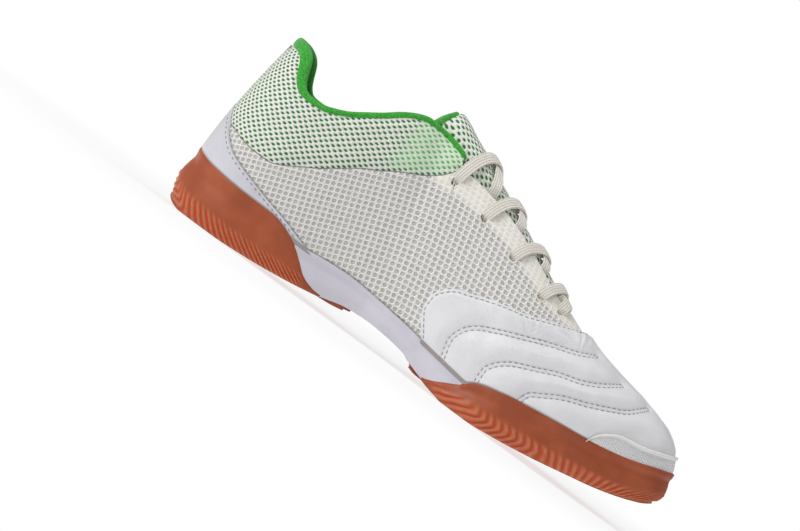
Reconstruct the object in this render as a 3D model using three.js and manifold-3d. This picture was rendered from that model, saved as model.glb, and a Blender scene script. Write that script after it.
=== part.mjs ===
// Indoor soccer shoe, a left one, standing empty on its sole.
// Millimetres. X runs from heel to toe, Y to the wearer's left, Z up.

import * as THREE from 'three';
import { mergeVertices } from 'three/addons/utils/BufferGeometryUtils.js';
import Module from 'manifold-3d';

const wasm = await Module();
wasm.setup();

// Driving dimensions
const shoeLength = 292;
const ballWidth = 104;
const heelHeight = 105; // floor to the top of the collar at the back
const instepHeight = 124; // floor to the tip of the tongue
const soleHeight = 32.6; // floor to the top of the sole at the back
const cupWall = 3.4;
const gumFloor = 4.5;
const soleHollow = 1.9; // how far the sole's side is hollowed under its lip
const upperWall = 2;
const overlayThickness = 1.2;
const bumperRise = 0.4; // how far the toe bumper stands past the vamp
const fitGap = 0.3;
const tongueThickness = 4;
const insoleThickness = 3;
const insoleClearance = 0.8;
const bindingThickness = 3.6;
const bindingRise = 0.5; // how far the collar's binding stands past the upper's face
const laceWidth = 6.5;
const laceThickness = 1.3;
const laceClearance = 1.2;
const eyeletWidth = 4.6;
const bridgeWidth = 30; // the gum rubber under the arch
const bridgeThickness = 2.4;
const grooveWidth = 2.4;
const grooveDepth = 1.5;
const groovePitch = 13;
const grooveSweep = 2.8; // how far a tread groove's middle lies ahead of its ends
const grooveSetback = 8; // land left between a groove and the sole's edge
const pivotRadius = 15;
const ribWidth = 3;
const ribLean = 2; // how far a side rib's top lies ahead of its foot
const ribRise = 0.4; // how far a side rib stands past the sole's side
const ribPitch = 12;
const ribFootHeight = 0.6; // from the ground line to a rib's foot
const ribShare = 0.32; // a rib's height as a share of the side's

// How finely curved faces are cut into flat ones
const facetsPerSection = 2;
const profileFacets = 5;
const archFacets = 14;
const roundFacets = 14;
const holeFacets = 6;
const laceFacets = 4;

const FAR = 400; // well outside the shoe
const FARTHER = 2 * FAR;
const cutAllowance = 1.5; // what the sole's block stands over its rim before that is cut

const table = (names, rows) => {
  const keys = names.split(' ');
  return rows.map((row) => Object.fromEntries(keys.map((key, i) => [key, row[i]])));
};

// Sections of last and sole, from heel to toe. Lengths are shares of the shoe's length, widths of the
// ball's width and top heights of the instep's height. The edge columns give the sole's outline. The top
// columns give where the section closes: round the ankle, and from the tongue's tip on along the ridge.
const sections = table(
  'edge inner outer top ridge span rise belly lift brow drop',
  [
    [0, 0, 0, 0.041, 0, 0, 1.048, 0.029, 0.33, 0.043, 0.3],
    [0.0075, -0.135, 0.135, 0.046, 0, 0.091, 1.048, 0.029, 0.33, 0.043, 0.3],
    [0.031, -0.245, 0.245, 0.063, 0, 0.173, 1.048, 0.029, 0.33, 0.04, 0.3],
    [0.0685, -0.317, 0.317, 0.096, 0, 0.226, 1.048, 0.027, 0.33, 0.03, 0.3],
    [0.13, -0.351, 0.356, 0.144, 0, 0.255, 1.048, 0.024, 0.33, 0.015, 0.3],
    [0.212, -0.337, 0.37, 0.199, 0, 0.255, 1.048, 0.015, 0.33, 0.015, 0.3],
    [0.288, -0.303, 0.375, 0.253, 0, 0.212, 1.046, 0.01, 0.38, 0.04, 0.24],
    [0.342, -0.284, 0.385, 0.295, 0, 0.125, 1.036, 0.008, 0.45, 0.09, 0.1],
    [0.39, -0.279, 0.399, 0.332, 0, 0, 1.008, 0.008, 0.48, 0.154, 0],
    [0.442, -0.293, 0.418, 0.394, 0, 0, 0.946, 0.01, 0.5, 0.183, 0],
    [0.497, -0.332, 0.447, 0.466, -0.01, 0, 0.861, 0.015, 0.5, 0.192, 0],
    [0.589, -0.418, 0.49, 0.575, -0.03, 0, 0.736, 0.02, 0.52, 0.21, 0],
    [0.685, -0.49, 0.51, 0.685, -0.06, 0, 0.607, 0.02, 0.54, 0.24, 0],
    [0.774, -0.485, 0.465, 0.771, -0.085, 0, 0.531, 0.015, 0.57, 0.26, 0],
    [0.856, -0.44, 0.37, 0.839, -0.1, 0, 0.498, 0.012, 0.6, 0.25, 0],
    [0.921, -0.375, 0.247, 0.884, -0.107, 0, 0.477, 0.01, 0.6, 0.21, 0],
    [0.966, -0.298, 0.117, 0.906, -0.11, 0, 0.465, 0.008, 0.6, 0.165, 0],
    [0.9915, -0.21, -0.005, 0.916, -0.11, 0, 0.457, 0.008, 0.6, 0.13, 0],
    [1, -0.11, -0.11, 0.9195, -0.11, 0, 0.455, 0.008, 0.6, 0.115, 0],
  ],
);
const firstRidgeRow = 8;
const ballRow = 12;

// Side lines, as shares of the shoe's length and of the sole's height
const groundTable = table('along up', [
  [0, 0.23], [0.014, 0.092], [0.027, 0.034], [0.045, 0], [0.113, 0], [0.18, 0.028], [0.25, 0.089],
  [0.32, 0.187], [0.377, 0.304], [0.418, 0.325], [0.452, 0.307], [0.497, 0.252], [0.514, 0.19],
  [0.548, 0.101], [0.582, 0.03], [0.603, 0], [0.65, 0], [0.702, 0.037], [0.77, 0.117],
  [0.836, 0.221], [0.904, 0.34], [0.973, 0.534], [1, 0.675],
]);
const rimTable = table('along up', [
  [0, 1.006], [0.014, 0.939], [0.043, 0.874], [0.113, 0.822], [0.18, 0.807], [0.205, 0.755],
  [0.23, 0.68], [0.26, 0.672], [0.3, 0.706], [0.35, 0.727], [0.4, 0.696], [0.47, 0.632],
  [0.53, 0.561], [0.6, 0.482], [0.613, 0.47], [0.625, 0.534], [0.64, 0.586], [0.667, 0.644],
  [0.7, 0.702], [0.77, 0.785], [0.836, 0.853], [0.904, 0.957], [0.94, 1.04], [0.973, 1.126],
  [1, 1.18],
]);
const bedTable = table('along up', [
  [0, 0.61], [0.113, 0.58], [0.25, 0.552], [0.377, 0.552], [0.418, 0.537], [0.47, 0.475],
  [0.514, 0.405], [0.56, 0.337], [0.603, 0.29], [0.65, 0.276], [0.702, 0.307], [0.77, 0.383],
  [0.836, 0.49], [0.904, 0.613], [0.973, 0.8], [1, 0.89],
]);
// Where gum rubber gives way to foam at the front of the heel part and at the back of the forefoot part
const heelGumTable = table('along up', [
  [0.185, 1.5], [0.187, 0.81], [0.197, 0.782], [0.214, 0.73], [0.231, 0.666], [0.245, 0.61],
  [0.265, 0.475], [0.283, 0.34], [0.3, 0.276], [0.317, 0.248], [0.345, 0.262],
]);
const foreGumTable = table('along up', [
  [0.505, 0.17], [0.53, 0.163], [0.545, 0.158], [0.565, 0.205], [0.582, 0.285], [0.6, 0.377],
  [0.615, 0.46], [0.62, 1.5],
]);
// The sole's side from just under its bottom to its lip: height as a share, inset as a share of soleHollow
const soleSideTable = table('up inset', [
  [-0.05, 1.3], [0.15, 0.5], [0.36, 0], [0.58, 0.45], [0.77, 1], [1, 0.42],
]);

// Where the binding grows thin to leave the tongue room, as a share of the shoe's length
const thinBindingFrom = 0.29;

// The collar's side line, as shares of the shoe's length and of the heel's height
const collarTable = table('along up', [
  [0.03, 1.01], [0.046, 1.0], [0.064, 0.966], [0.073, 0.902], [0.087, 0.844], [0.1, 0.817],
  [0.118, 0.81], [0.141, 0.813], [0.162, 0.832], [0.182, 0.857], [0.209, 0.905], [0.236, 0.956],
  [0.26, 1.01], [0.284, 1.048], [0.303, 1.064], [0.327, 1.064], [0.351, 1.052], [0.379, 1.032],
  [0.391, 1.018],
]);
// How deep the binding is, in millimetres
const bindingTable = table('along depth', [
  [0.03, 6], [0.064, 6], [0.085, 4.4], [0.11, 3], [0.16, 2.6], [0.396, 2.6],
]);
// Side lines of the overlays: counter and bumper as shares of the sole's height, vamp of the instep's
const counterTable = table('along up', [
  [-0.02, 1.933], [0.007, 1.881], [0.016, 1.639], [0.034, 1.398], [0.059, 1.217], [0.087, 1.118],
  [0.121, 1.031], [0.162, 0.931], [0.207, 0.831], [0.241, 0.738], [0.272, 0.66],
]);
const vampTable = table('along up', [
  [0.512, 0.127], [0.509, 0.152], [0.492, 0.207], [0.477, 0.275], [0.478, 0.328], [0.488, 0.367],
  [0.51, 0.409], [0.527, 0.422], [0.562, 0.45], [0.596, 0.473], [0.63, 0.49], [0.663, 0.517],
  [0.697, 0.546], [0.727, 0.567], [0.745, 0.61],
]);
const bumperTable = table('along up', [
  [0.836, 0.709], [0.839, 0.863], [0.846, 0.989], [0.863, 1.127], [0.884, 1.221], [0.914, 1.256],
  [0.944, 1.321], [0.979, 1.427], [1.03, 1.61],
]);
// The tongue's back edge in side view, as shares of the shoe's length and of the instep's height
const tongueBackTable = table('along up', [[0.315, 0.8], [0.32, 0.905], [0.328, 0.965], [0.336, 1.1]]);
// Half the tongue's width and half the throat's, as shares of the ball's width
const tongueTable = table('along half', [
  [0.3, 0.2], [0.33, 0.2], [0.44, 0.2], [0.55, 0.17], [0.65, 0.14], [0.7, 0.115], [0.715, 0.06],
]);
const throatTable = table('along half', [
  [0.389, 0.17], [0.44, 0.149], [0.486, 0.13], [0.531, 0.111], [0.582, 0.101],
  [0.65, 0.098], [0.675, 0.085], [0.688, 0.055], [0.692, 0],
]);
// Eyelets, from the top one down, as shares of the instep's height
const eyeletTable = table('along up', [
  [0.396, 0.749], [0.474, 0.703], [0.553, 0.644], [0.6315, 0.584], [0.674, 0.579],
]);

// Slopes of a smooth line through rows that never swings past them: the harmonic mean of both sides
function slopesThrough(knots, values, closed) {
  const last = knots.length - 1;
  const rise = (i) => (values[i + 1] - values[i]) / (knots[i + 1] - knots[i]);
  const mean = (before, after) => (before * after <= 0 ? 0 : (2 * before * after) / (before + after));
  return knots.map((_, i) => {
    if (i > 0 && i < last) return mean(rise(i - 1), rise(i));
    if (closed) return mean(rise(last - 1), rise(0));
    return i === 0 ? rise(0) : rise(last - 1);
  });
}

// A smooth line through values at growing knots. A closed one repeats its first value at the last knot.
function lineThrough(knots, values, closed = false) {
  const slopes = slopesThrough(knots, values, closed);
  const start = knots[0];
  const period = knots[knots.length - 1] - start;
  return (place) => {
    const at = closed ? start + ((((place - start) % period) + period) % period) : place;
    let i = 0;
    while (i < knots.length - 2 && at > knots[i + 1]) i += 1;
    const width = knots[i + 1] - knots[i];
    const t = Math.min(1, Math.max(0, (at - knots[i]) / width));
    const t2 = t * t;
    const t3 = t2 * t;
    return (2 * t3 - 3 * t2 + 1) * values[i] + (t3 - 2 * t2 + t) * width * slopes[i]
      + (3 * t2 - 2 * t3) * values[i + 1] + (t3 - t2) * width * slopes[i + 1];
  };
}

const heightLine = (rows, height) => lineThrough(
  rows.map((row) => row.along * shoeLength),
  rows.map((row) => row.up * height),
);
const ground = heightLine(groundTable, soleHeight);
const rim = heightLine(rimTable, soleHeight);
const bed = heightLine(bedTable, soleHeight);

// The loop of sections: out along the outer side, back along the inner one
const soleSections = sections.map((row, i) => {
  const top = { x: row.top * shoeLength, z: row.rise * instepHeight };
  const before = sections[Math.max(i - 1, 0)];
  const after = sections[Math.min(i + 1, sections.length - 1)];
  const run = (after.top - before.top) * shoeLength;
  const slope = i < firstRidgeRow - 1 ? 0 : ((after.rise - before.rise) * instepHeight) / run;
  return { row, top, slope };
});
const loopRows = [
  ...soleSections.map((section) => ({ ...section, side: 1 })),
  ...soleSections.slice(0, -1).reverse().map((section) => ({ ...section, side: -1 })),
];
const edgePoint = ({ row, side }) => ({
  x: row.edge * shoeLength,
  y: (side > 0 ? row.outer : row.inner) * ballWidth,
});
const chord = (i) => {
  const from = edgePoint(loopRows[i]);
  const to = edgePoint(loopRows[i + 1]);
  return Math.hypot(to.x - from.x, to.y - from.y);
};
const loopKnots = [0];
for (let i = 0; i + 1 < loopRows.length; i += 1) {
  loopKnots.push(loopKnots[i] + (chord(i) + chord(loopRows.length - 2 - i)) / 2);
}
const loopLine = (pick) => lineThrough(loopKnots, loopRows.map(pick), true);
const outlineX = loopLine((entry) => edgePoint(entry).x);
const outlineY = loopLine((entry) => edgePoint(entry).y);
const topX = loopLine((entry) => entry.top.x);
const topY = loopLine((entry) => (entry.row.ridge + entry.side * entry.row.span) * ballWidth);
const topZ = loopLine((entry) => entry.top.z);
const topSpan = loopLine((entry) => entry.row.span * ballWidth);
const ridgeSlope = loopLine((entry) => entry.slope);
const belly = loopLine((entry) => entry.row.belly * ballWidth);
const lift = loopLine((entry) => entry.row.lift);
const brow = loopLine((entry) => entry.row.brow * ballWidth);
const drop = loopLine((entry) => entry.row.drop);

// Stations along the loop: the same count on both sides, so that each has its partner across the shoe
const stations = [];
for (let i = 0; i + 1 < loopRows.length; i += 1) {
  for (let k = 0; k < facetsPerSection; k += 1) {
    stations.push(loopKnots[i] + ((loopKnots[i + 1] - loopKnots[i]) * k) / facetsPerSection);
  }
}
const stationCount = stations.length;
const loopLength = loopKnots[loopKnots.length - 1];
const partner = (i) => (stationCount - i) % stationCount;

// The sole's outline at a place of the loop, moved in by a distance, with its outward direction
const NUDGE = 0.05;
function outline(place, inset) {
  const dx = outlineX(place + NUDGE) - outlineX(place - NUDGE);
  const dy = outlineY(place + NUDGE) - outlineY(place - NUDGE);
  const length = Math.hypot(dx, dy);
  const out = new THREE.Vector3(-dy / length, dx / length, 0);
  const point = new THREE.Vector3(outlineX(place), outlineY(place), 0).addScaledVector(out, -inset);
  return { point, out };
}

// Faces of the upper's layers, as offsets from the last's outermost surface
const upperFace = -overlayThickness - fitGap;
const liningFace = upperFace - upperWall;

// The last's outermost surface: a cubic curve from the feather edge, straight up and out by the belly,
// to the top, which it meets level across the ridge or straight down at the ankle
const featherInset = cupWall - overlayThickness;
function surfacePoint(place, share) {
  const { point, out } = outline(place, featherInset);
  const foot = new THREE.Vector3(point.x, point.y, bed(point.x));
  const top = new THREE.Vector3(topX(place), topY(place), topZ(place));
  const height = top.z - foot.z;
  const low = foot.clone().addScaledVector(out, belly(place));
  low.z += lift(place) * height;
  const high = top.clone().addScaledVector(out, brow(place));
  high.z += ridgeSlope(place) * (high.x - top.x) - drop(place) * height;
  const rest = 1 - share;
  return foot.multiplyScalar(rest ** 3)
    .addScaledVector(low, 3 * rest * rest * share)
    .addScaledVector(high, 3 * rest * share * share)
    .addScaledVector(top, share ** 3);
}

function surfaceNormal(place, share) {
  const onRidge = share === 1 && topSpan(place) < NUDGE * NUDGE;
  if (onRidge) return new THREE.Vector3(-ridgeSlope(place), 0, 1).normalize();
  const step = 1e-3;
  const from = Math.max(0, share - step);
  const to = Math.min(1, share + step);
  const across = surfacePoint(place, to).sub(surfacePoint(place, from));
  const along = surfacePoint(place + NUDGE, share).sub(surfacePoint(place - NUDGE, share));
  return across.cross(along).normalize();
}

const offsetPoint = (place, share, offset) => surfacePoint(place, share)
  .addScaledVector(surfaceNormal(place, share), offset);

// Solids
const corner = (x, z) => new THREE.Vector2(x, z);

function solidFrom(geometry) {
  const bare = geometry.clone();
  bare.deleteAttribute('normal');
  bare.deleteAttribute('uv');
  const merged = mergeVertices(bare, 1e-4);
  const index = Array.from(merged.index.array);
  const kept = [];
  for (let i = 0; i < index.length; i += 3) {
    const [a, b, c] = [index[i], index[i + 1], index[i + 2]];
    if (a !== b && b !== c && c !== a) kept.push(a, b, c);
  }
  const mesh = new wasm.Mesh({
    numProp: 3,
    vertProperties: new Float32Array(merged.attributes.position.array),
    triVerts: new Uint32Array(kept),
  });
  return new wasm.Manifold(mesh);
}

// A closed solid from rings of points, each round the loop of stations, with strips across both ends
function solidOfRings(rings) {
  const positions = rings.flatMap((ring) => ring.flatMap((point) => [point.x, point.y, point.z]));
  const at = (ring, i) => ring * stationCount + ((i + stationCount) % stationCount);
  const index = [];
  const quad = (a, b, c, d) => index.push(a, b, c, a, c, d);
  const last = rings.length - 1;
  for (let k = 0; k < last; k += 1) {
    for (let i = 0; i < stationCount; i += 1) quad(at(k, i), at(k + 1, i), at(k + 1, i + 1), at(k, i + 1));
  }
  for (let i = 0; i < stationCount / 2; i += 1) {
    quad(at(0, i), at(0, i + 1), at(0, partner(i + 1)), at(0, partner(i)));
    quad(at(last, i), at(last, partner(i)), at(last, partner(i + 1)), at(last, i + 1));
  }
  const geometry = new THREE.BufferGeometry();
  geometry.setAttribute('position', new THREE.Float32BufferAttribute(positions, 3));
  geometry.setIndex(index);
  return solidFrom(geometry);
}

// The feather edge grown by an offset, at a height worked out from its place along the shoe
const featherRing = (offset, height) => stations.map((place) => {
  const point = offsetPoint(place, 0, offset);
  point.z = height(point.x);
  return point;
});

// A plate with the feather edge's outline, between two heights
const featherPlate = (offset, low, high) => solidOfRings([
  featherRing(offset, low),
  featherRing(offset, high),
]);

// The last grown by an offset, and carried down below its feather edge to a floor where one is given
const throughSole = (x) => bed(x) - soleHeight;
function lastForm(offset, floor = null) {
  const rings = floor ? [featherRing(offset, floor)] : [];
  rings.push(featherRing(offset, bed));
  for (let k = 1; k <= profileFacets; k += 1) {
    rings.push(stations.map((place) => offsetPoint(place, k / profileFacets, offset)));
  }
  return solidOfRings(rings);
}

const sidePoints = (rows, height) => rows.map((row) => corner(row.along * shoeLength, row.up * height));
const planPoints = (rows) => rows.map((row) => corner(row.along * shoeLength, row.half * ballWidth));
const raised = (line, rise) => line.map((point) => corner(point.x, point.y + rise));
const moved = (line, run) => line.map((point) => corner(point.x + run, point.y));
const backward = (line) => [...line].reverse();
const endOf = (line) => line[line.length - 1];

// A solid with a given outline in side view, through the whole width
function sidePrism(points) {
  const options = { depth: FARTHER, bevelEnabled: false };
  const geometry = new THREE.ExtrudeGeometry(new THREE.Shape(points), options);
  geometry.rotateX(Math.PI / 2);
  geometry.translate(0, FAR, 0);
  return solidFrom(geometry);
}

// A solid with a given outline from above, between two heights
function planPrism(points, low, high) {
  const options = { depth: high - low, bevelEnabled: false };
  const geometry = new THREE.ExtrudeGeometry(new THREE.Shape(points), options);
  geometry.translate(0, 0, low);
  return solidFrom(geometry);
}

// All that lies between a side line that runs the shoe's length and a level far over or under it
const beside = (line, level) => sidePrism([
  corner(-FAR, line[0].y), ...line, corner(FARTHER, endOf(line).y), corner(FARTHER, level),
  corner(-FAR, level),
]);

// Parts of the side view beside a line that starts low or at the back
const above = (line) => sidePrism([
  ...line, corner(endOf(line).x, FAR), corner(-FAR, FAR), corner(-FAR, line[0].y),
]);
const below = (line) => sidePrism([...line, corner(endOf(line).x, -FAR), corner(line[0].x, -FAR)]);
const ahead = (line) => sidePrism([
  ...line, corner(endOf(line).x, FAR), corner(FARTHER, FAR), corner(FARTHER, -FAR), corner(line[0].x, -FAR),
]);
const behind = (line) => sidePrism([
  ...line, corner(endOf(line).x, FAR), corner(-FAR, FAR), corner(-FAR, -FAR), corner(line[0].x, -FAR),
]);

// The sole's block, between its ground line and its rim
const overRim = (rise) => beside(raised(sidePoints(rimTable, soleHeight), rise), FAR);
const underGround = beside(sidePoints(groundTable, soleHeight), -FAR);
function soleBlock() {
  return solidOfRings(soleSideTable.map((level) => stations.map((place) => {
    const { point } = outline(place, level.inset * soleHollow);
    point.z = ground(point.x) + level.up * (rim(point.x) + cutAllowance - ground(point.x));
    return point;
  }))).subtract(overRim(0)).subtract(underGround);
}

// Outsole and midsole
const heelGumLine = backward(sidePoints(heelGumTable, soleHeight));
const foreGumLine = sidePoints(foreGumTable, soleHeight);
const heelGumEnd = heelGumLine[0].x;
const foreGumStart = foreGumLine[0].x;
const gumZone = behind(heelGumLine).add(ahead(foreGumLine));
const nearGum = behind(moved(heelGumLine, fitGap)).add(behind(raised(heelGumLine, fitGap)))
  .add(ahead(moved(foreGumLine, -fitGap))).add(ahead(raised(foreGumLine, fitGap)));

// Strip under the arch that follows the ground line, from one gum part into the other
function archStrip(halfWidth, low, high) {
  const from = heelGumEnd - bridgeWidth;
  const to = foreGumStart + bridgeWidth / 2;
  const places = Array.from({ length: archFacets + 1 }, (_, i) => from + ((to - from) * i) / archFacets);
  const line = places.map((x) => corner(x, ground(x)));
  return sidePrism([...raised(line, low), ...backward(raised(line, high))]).intersect(planPrism([
    corner(from, -halfWidth), corner(to, -halfWidth), corner(to, halfWidth), corner(from, halfWidth),
  ], -FAR, FAR));
}

const cupSpace = lastForm(upperFace + fitGap, (x) => ground(x) + gumFloor);

// Half the sole's width where both sides have it, at a place along the shoe
const edgePlaces = sections.map((row) => row.edge * shoeLength);
const innerSide = lineThrough(edgePlaces, sections.map((row) => -row.inner * ballWidth));
const outerSide = lineThrough(edgePlaces, sections.map((row) => row.outer * ballWidth));
const landHalf = (x) => Math.min(innerSide(x), outerSide(x)) - grooveSetback;

// Round pivot under the ball of the foot
const pivotX = sections[ballRow].edge * shoeLength;
function pivotGroove() {
  const top = ground(pivotX) + grooveDepth;
  const core = pivotRadius - grooveWidth;
  const ring = new THREE.LatheGeometry([
    corner(core, -pivotRadius), corner(pivotRadius, -pivotRadius), corner(pivotRadius, top),
    corner(core, top), corner(core, -pivotRadius),
  ], roundFacets);
  ring.rotateX(Math.PI / 2);
  ring.translate(pivotX, 0, 0);
  return solidFrom(ring);
}

// Tread grooves, each a shallow chevron across the sole
function treadGrooves() {
  const chevron = (x) => {
    const half = landHalf(x);
    const tip = x + grooveSweep;
    return planPrism([
      corner(x, -half), corner(x + grooveWidth, -half), corner(tip + grooveWidth, 0),
      corner(x + grooveWidth, half), corner(x, half), corner(tip, 0),
    ], -FAR, ground(x + grooveWidth) + grooveDepth);
  };
  const grooves = [];
  for (let x = groovePitch; x < shoeLength - groovePitch; x += groovePitch) {
    const onGum = x < heelGumEnd - 2 * groovePitch || x > foreGumStart + 2 * groovePitch;
    const offPivot = Math.abs(x - pivotX) > pivotRadius + groovePitch / 2;
    if (onGum && offPivot && landHalf(x) > groovePitch) grooves.push(chevron(x));
  }
  return grooves;
}

// Slanted ribs on the lower side of heel and forefoot
function sideRibs() {
  const ribs = [];
  for (let place = 0; place < loopLength; place += ribPitch) {
    const { point, out } = outline(place, 0);
    const onGum = point.x < heelGumEnd - 2 * ribPitch || point.x > foreGumStart + 2 * ribPitch;
    if (!onGum) continue;
    const foot = ground(Math.min(Math.max(point.x, ribPitch), shoeLength - ribPitch));
    const top = (rim(point.x) - foot) * ribShare;
    const half = ribWidth / 2;
    const face = new THREE.Shape([
      corner(-half, ribFootHeight), corner(half, ribFootHeight), corner(half + ribLean, top),
      corner(ribLean, top),
    ]);
    const geometry = new THREE.ExtrudeGeometry(face, { depth: cupWall, bevelEnabled: false });
    geometry.translate(0, 0, ribRise - cupWall);
    const up = new THREE.Vector3(0, 0, 1);
    const side = new THREE.Vector3().crossVectors(up, out);
    geometry.applyMatrix4(new THREE.Matrix4().makeBasis(side, up, out));
    geometry.translate(point.x, point.y, foot);
    ribs.push(solidFrom(geometry));
  }
  return ribs;
}

function buildOutsole() {
  let cup = soleBlock().intersect(gumZone).subtract(cupSpace);
  cup = cup.add(archStrip(bridgeWidth / 2, 0, bridgeThickness).subtract(cupSpace));
  for (const rib of sideRibs()) cup = cup.add(rib.intersect(gumZone).subtract(cupSpace));
  for (const groove of treadGrooves()) cup = cup.subtract(groove);
  return cup.subtract(pivotGroove());
}

function buildMidsole() {
  const inner = featherPlate(upperFace, (x) => ground(x) + gumFloor + fitGap, (x) => bed(x) - fitGap);
  const bare = soleBlock().subtract(nearGum);
  const recess = archStrip(bridgeWidth / 2 + fitGap, -soleHeight, bridgeThickness + fitGap);
  const foot = lastForm(upperFace + fitGap, (x) => bed(x) - fitGap);
  return inner.add(bare).subtract(recess).subtract(foot);
}

const buildInsole = () => featherPlate(
  liningFace - insoleClearance,
  (x) => bed(x),
  (x) => bed(x) + insoleThickness,
);

// Collar, throat and eyelets
const collarLine = sidePoints(collarTable, heelHeight);
const bindingDepth = lineThrough(
  bindingTable.map((row) => row.along * shoeLength),
  bindingTable.map((row) => row.depth),
);
const loweredCollar = (extra) => collarLine.map(
  (point) => corner(point.x, point.y - bindingDepth(point.x) - extra),
);

// How far the ridge lies from the shoe's middle line, for outlines from above
const ridgeLine = lineThrough(
  sections.slice(firstRidgeRow).map((row) => row.top * shoeLength),
  sections.slice(firstRidgeRow).map((row) => row.ridge * ballWidth),
);
const aboutRidge = (line) => [
  ...line.map((point) => corner(point.x, ridgeLine(point.x) - point.y)),
  ...backward(line).map((point) => corner(point.x, ridgeLine(point.x) + point.y)),
];
const throatLine = planPoints(throatTable);
function throatPrism(shrink) {
  const line = throatLine.filter((point) => point.y > shrink)
    .map((point) => corner(Math.max(throatLine[0].x + shrink, point.x - shrink), point.y - shrink));
  return planPrism(aboutRidge(line), heelHeight / 2, FAR);
}

// The place of the surface nearest to two given coordinates, on one side of the ridge: a coarse search,
// then steps that shrink round the best place so far
const searchGrid = 60;
const searchRounds = 26;
const searchShrink = 0.55;
function findPlace(side, wanted) {
  let best = { miss: Infinity };
  const trial = (place, share) => {
    const point = surfacePoint(place, share);
    const miss = Object.keys(wanted).reduce((sum, key) => sum + (point[key] - wanted[key]) ** 2, 0);
    if (miss < best.miss) best = { miss, place, share };
  };
  const from = side > 0 ? 0 : loopLength / 2;
  const to = from + loopLength / 2;
  for (let i = 0; i <= searchGrid; i += 1) {
    for (let k = 0; k <= searchGrid; k += 1) trial(from + ((to - from) * i) / searchGrid, k / searchGrid);
  }
  let reach = (to - from) / searchGrid;
  let turn = 1 / searchGrid;
  const ways = [[1, 0], [-1, 0], [0, 1], [0, -1], [1, 1], [-1, -1], [1, -1], [-1, 1]];
  for (let round = 0; round < searchRounds; round += 1) {
    const { place, share } = best;
    for (const [i, k] of ways) {
      trial(Math.min(to, Math.max(from, place + i * reach)), Math.min(1, share + k * turn));
    }
    if (best.place === place && best.share === share) {
      reach *= searchShrink;
      turn *= searchShrink;
    }
  }
  return { point: surfacePoint(best.place, best.share), normal: surfaceNormal(best.place, best.share) };
}

const eyelets = eyeletTable.flatMap((row) => [-1, 1].map(
  (side) => findPlace(side, { x: row.along * shoeLength, z: row.up * instepHeight }),
));

function eyeletHole({ point, normal }) {
  const depth = -4 * liningFace;
  const hole = new THREE.CylinderGeometry(eyeletWidth / 2, eyeletWidth / 2, depth, holeFacets);
  hole.applyQuaternion(new THREE.Quaternion().setFromUnitVectors(new THREE.Vector3(0, 1, 0), normal));
  hole.translate(point.x, point.y, point.z);
  return solidFrom(hole);
}

// Upper, collar binding and tongue
function buildUpper() {
  let shell = lastForm(upperFace).subtract(lastForm(liningFace, throughSole));
  shell = shell.subtract(above(loweredCollar(fitGap))).subtract(throatPrism(0));
  for (const eyelet of eyelets) shell = shell.subtract(eyeletHole(eyelet));
  return shell;
}

function buildBinding() {
  const outer = upperFace + bindingRise;
  const padded = lastForm(outer).subtract(lastForm(outer - bindingThickness, throughSole));
  const flat = lastForm(outer).subtract(lastForm(liningFace, throughSole));
  const band = above(loweredCollar(0)).subtract(above(collarLine));
  const tongueSide = ahead([corner(thinBindingFrom * shoeLength, 0)]);
  return padded.subtract(tongueSide).add(flat.intersect(tongueSide)).intersect(band);
}

// A plate inside the upper, padded up into the throat
function buildTongue() {
  const outer = liningFace - fitGap;
  const pad = planPrism(aboutRidge(planPoints(tongueTable)), heelHeight / 2, FAR);
  const padding = lastForm(upperFace - fitGap).intersect(throatPrism(laceClearance));
  return lastForm(outer).add(padding).intersect(pad)
    .subtract(lastForm(outer - tongueThickness, throughSole))
    .subtract(behind(sidePoints(tongueBackTable, instepHeight)));
}

// Overlays, each cut between two forms of the last and standing on the sole's rim
const vampLine = sidePoints(vampTable, instepHeight);
const bumperLine = sidePoints(bumperTable, soleHeight);
const counterLine = sidePoints(counterTable, soleHeight);
const nearBumper = below(raised(bumperLine, fitGap)).add(below(moved(bumperLine, -fitGap)));
const overlayOf = (zone, face) => lastForm(face).subtract(lastForm(upperFace + fitGap, throughSole))
  .intersect(zone).intersect(overRim(fitGap));

// A flat lace over the throat between two eyelets, its middle on the surface above the straight line
function laceStrip(from, to) {
  const places = Array.from({ length: laceFacets + 1 }, (_, i) => {
    const x = from.x + ((to.x - from.x) * i) / laceFacets;
    const y = from.y + ((to.y - from.y) * i) / laceFacets;
    return findPlace(y > ridgeLine(x) ? 1 : -1, { x, y });
  });
  const low = upperFace + laceClearance;
  const rings = places.map(({ point, normal }, i) => {
    const next = places[Math.min(i + 1, laceFacets)].point;
    const along = next.clone().sub(places[Math.max(i - 1, 0)].point);
    const across = new THREE.Vector3().crossVectors(normal, along).setLength(laceWidth / 2);
    return [[-1, 0], [1, 0], [1, 1], [-1, 1]].map(([side, up]) => point.clone()
      .addScaledVector(across, side)
      .addScaledVector(normal, low + up * laceThickness));
  });
  const corners = rings[0].length;
  const index = [];
  const quad = (a, b, c, d) => index.push(a, b, c, a, c, d);
  for (let i = 0; i < laceFacets; i += 1) {
    for (let k = 0; k < corners; k += 1) {
      const a = i * corners + k;
      const b = i * corners + ((k + 1) % corners);
      quad(a, b, b + corners, a + corners);
    }
  }
  const end = laceFacets * corners;
  quad(0, 3, 2, 1);
  quad(end, end + 1, end + 2, end + 3);
  const geometry = new THREE.BufferGeometry();
  const positions = rings.flat().flatMap((point) => [point.x, point.y, point.z]);
  geometry.setAttribute('position', new THREE.Float32BufferAttribute(positions, 3));
  geometry.setIndex(index);
  return solidFrom(geometry);
}

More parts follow.
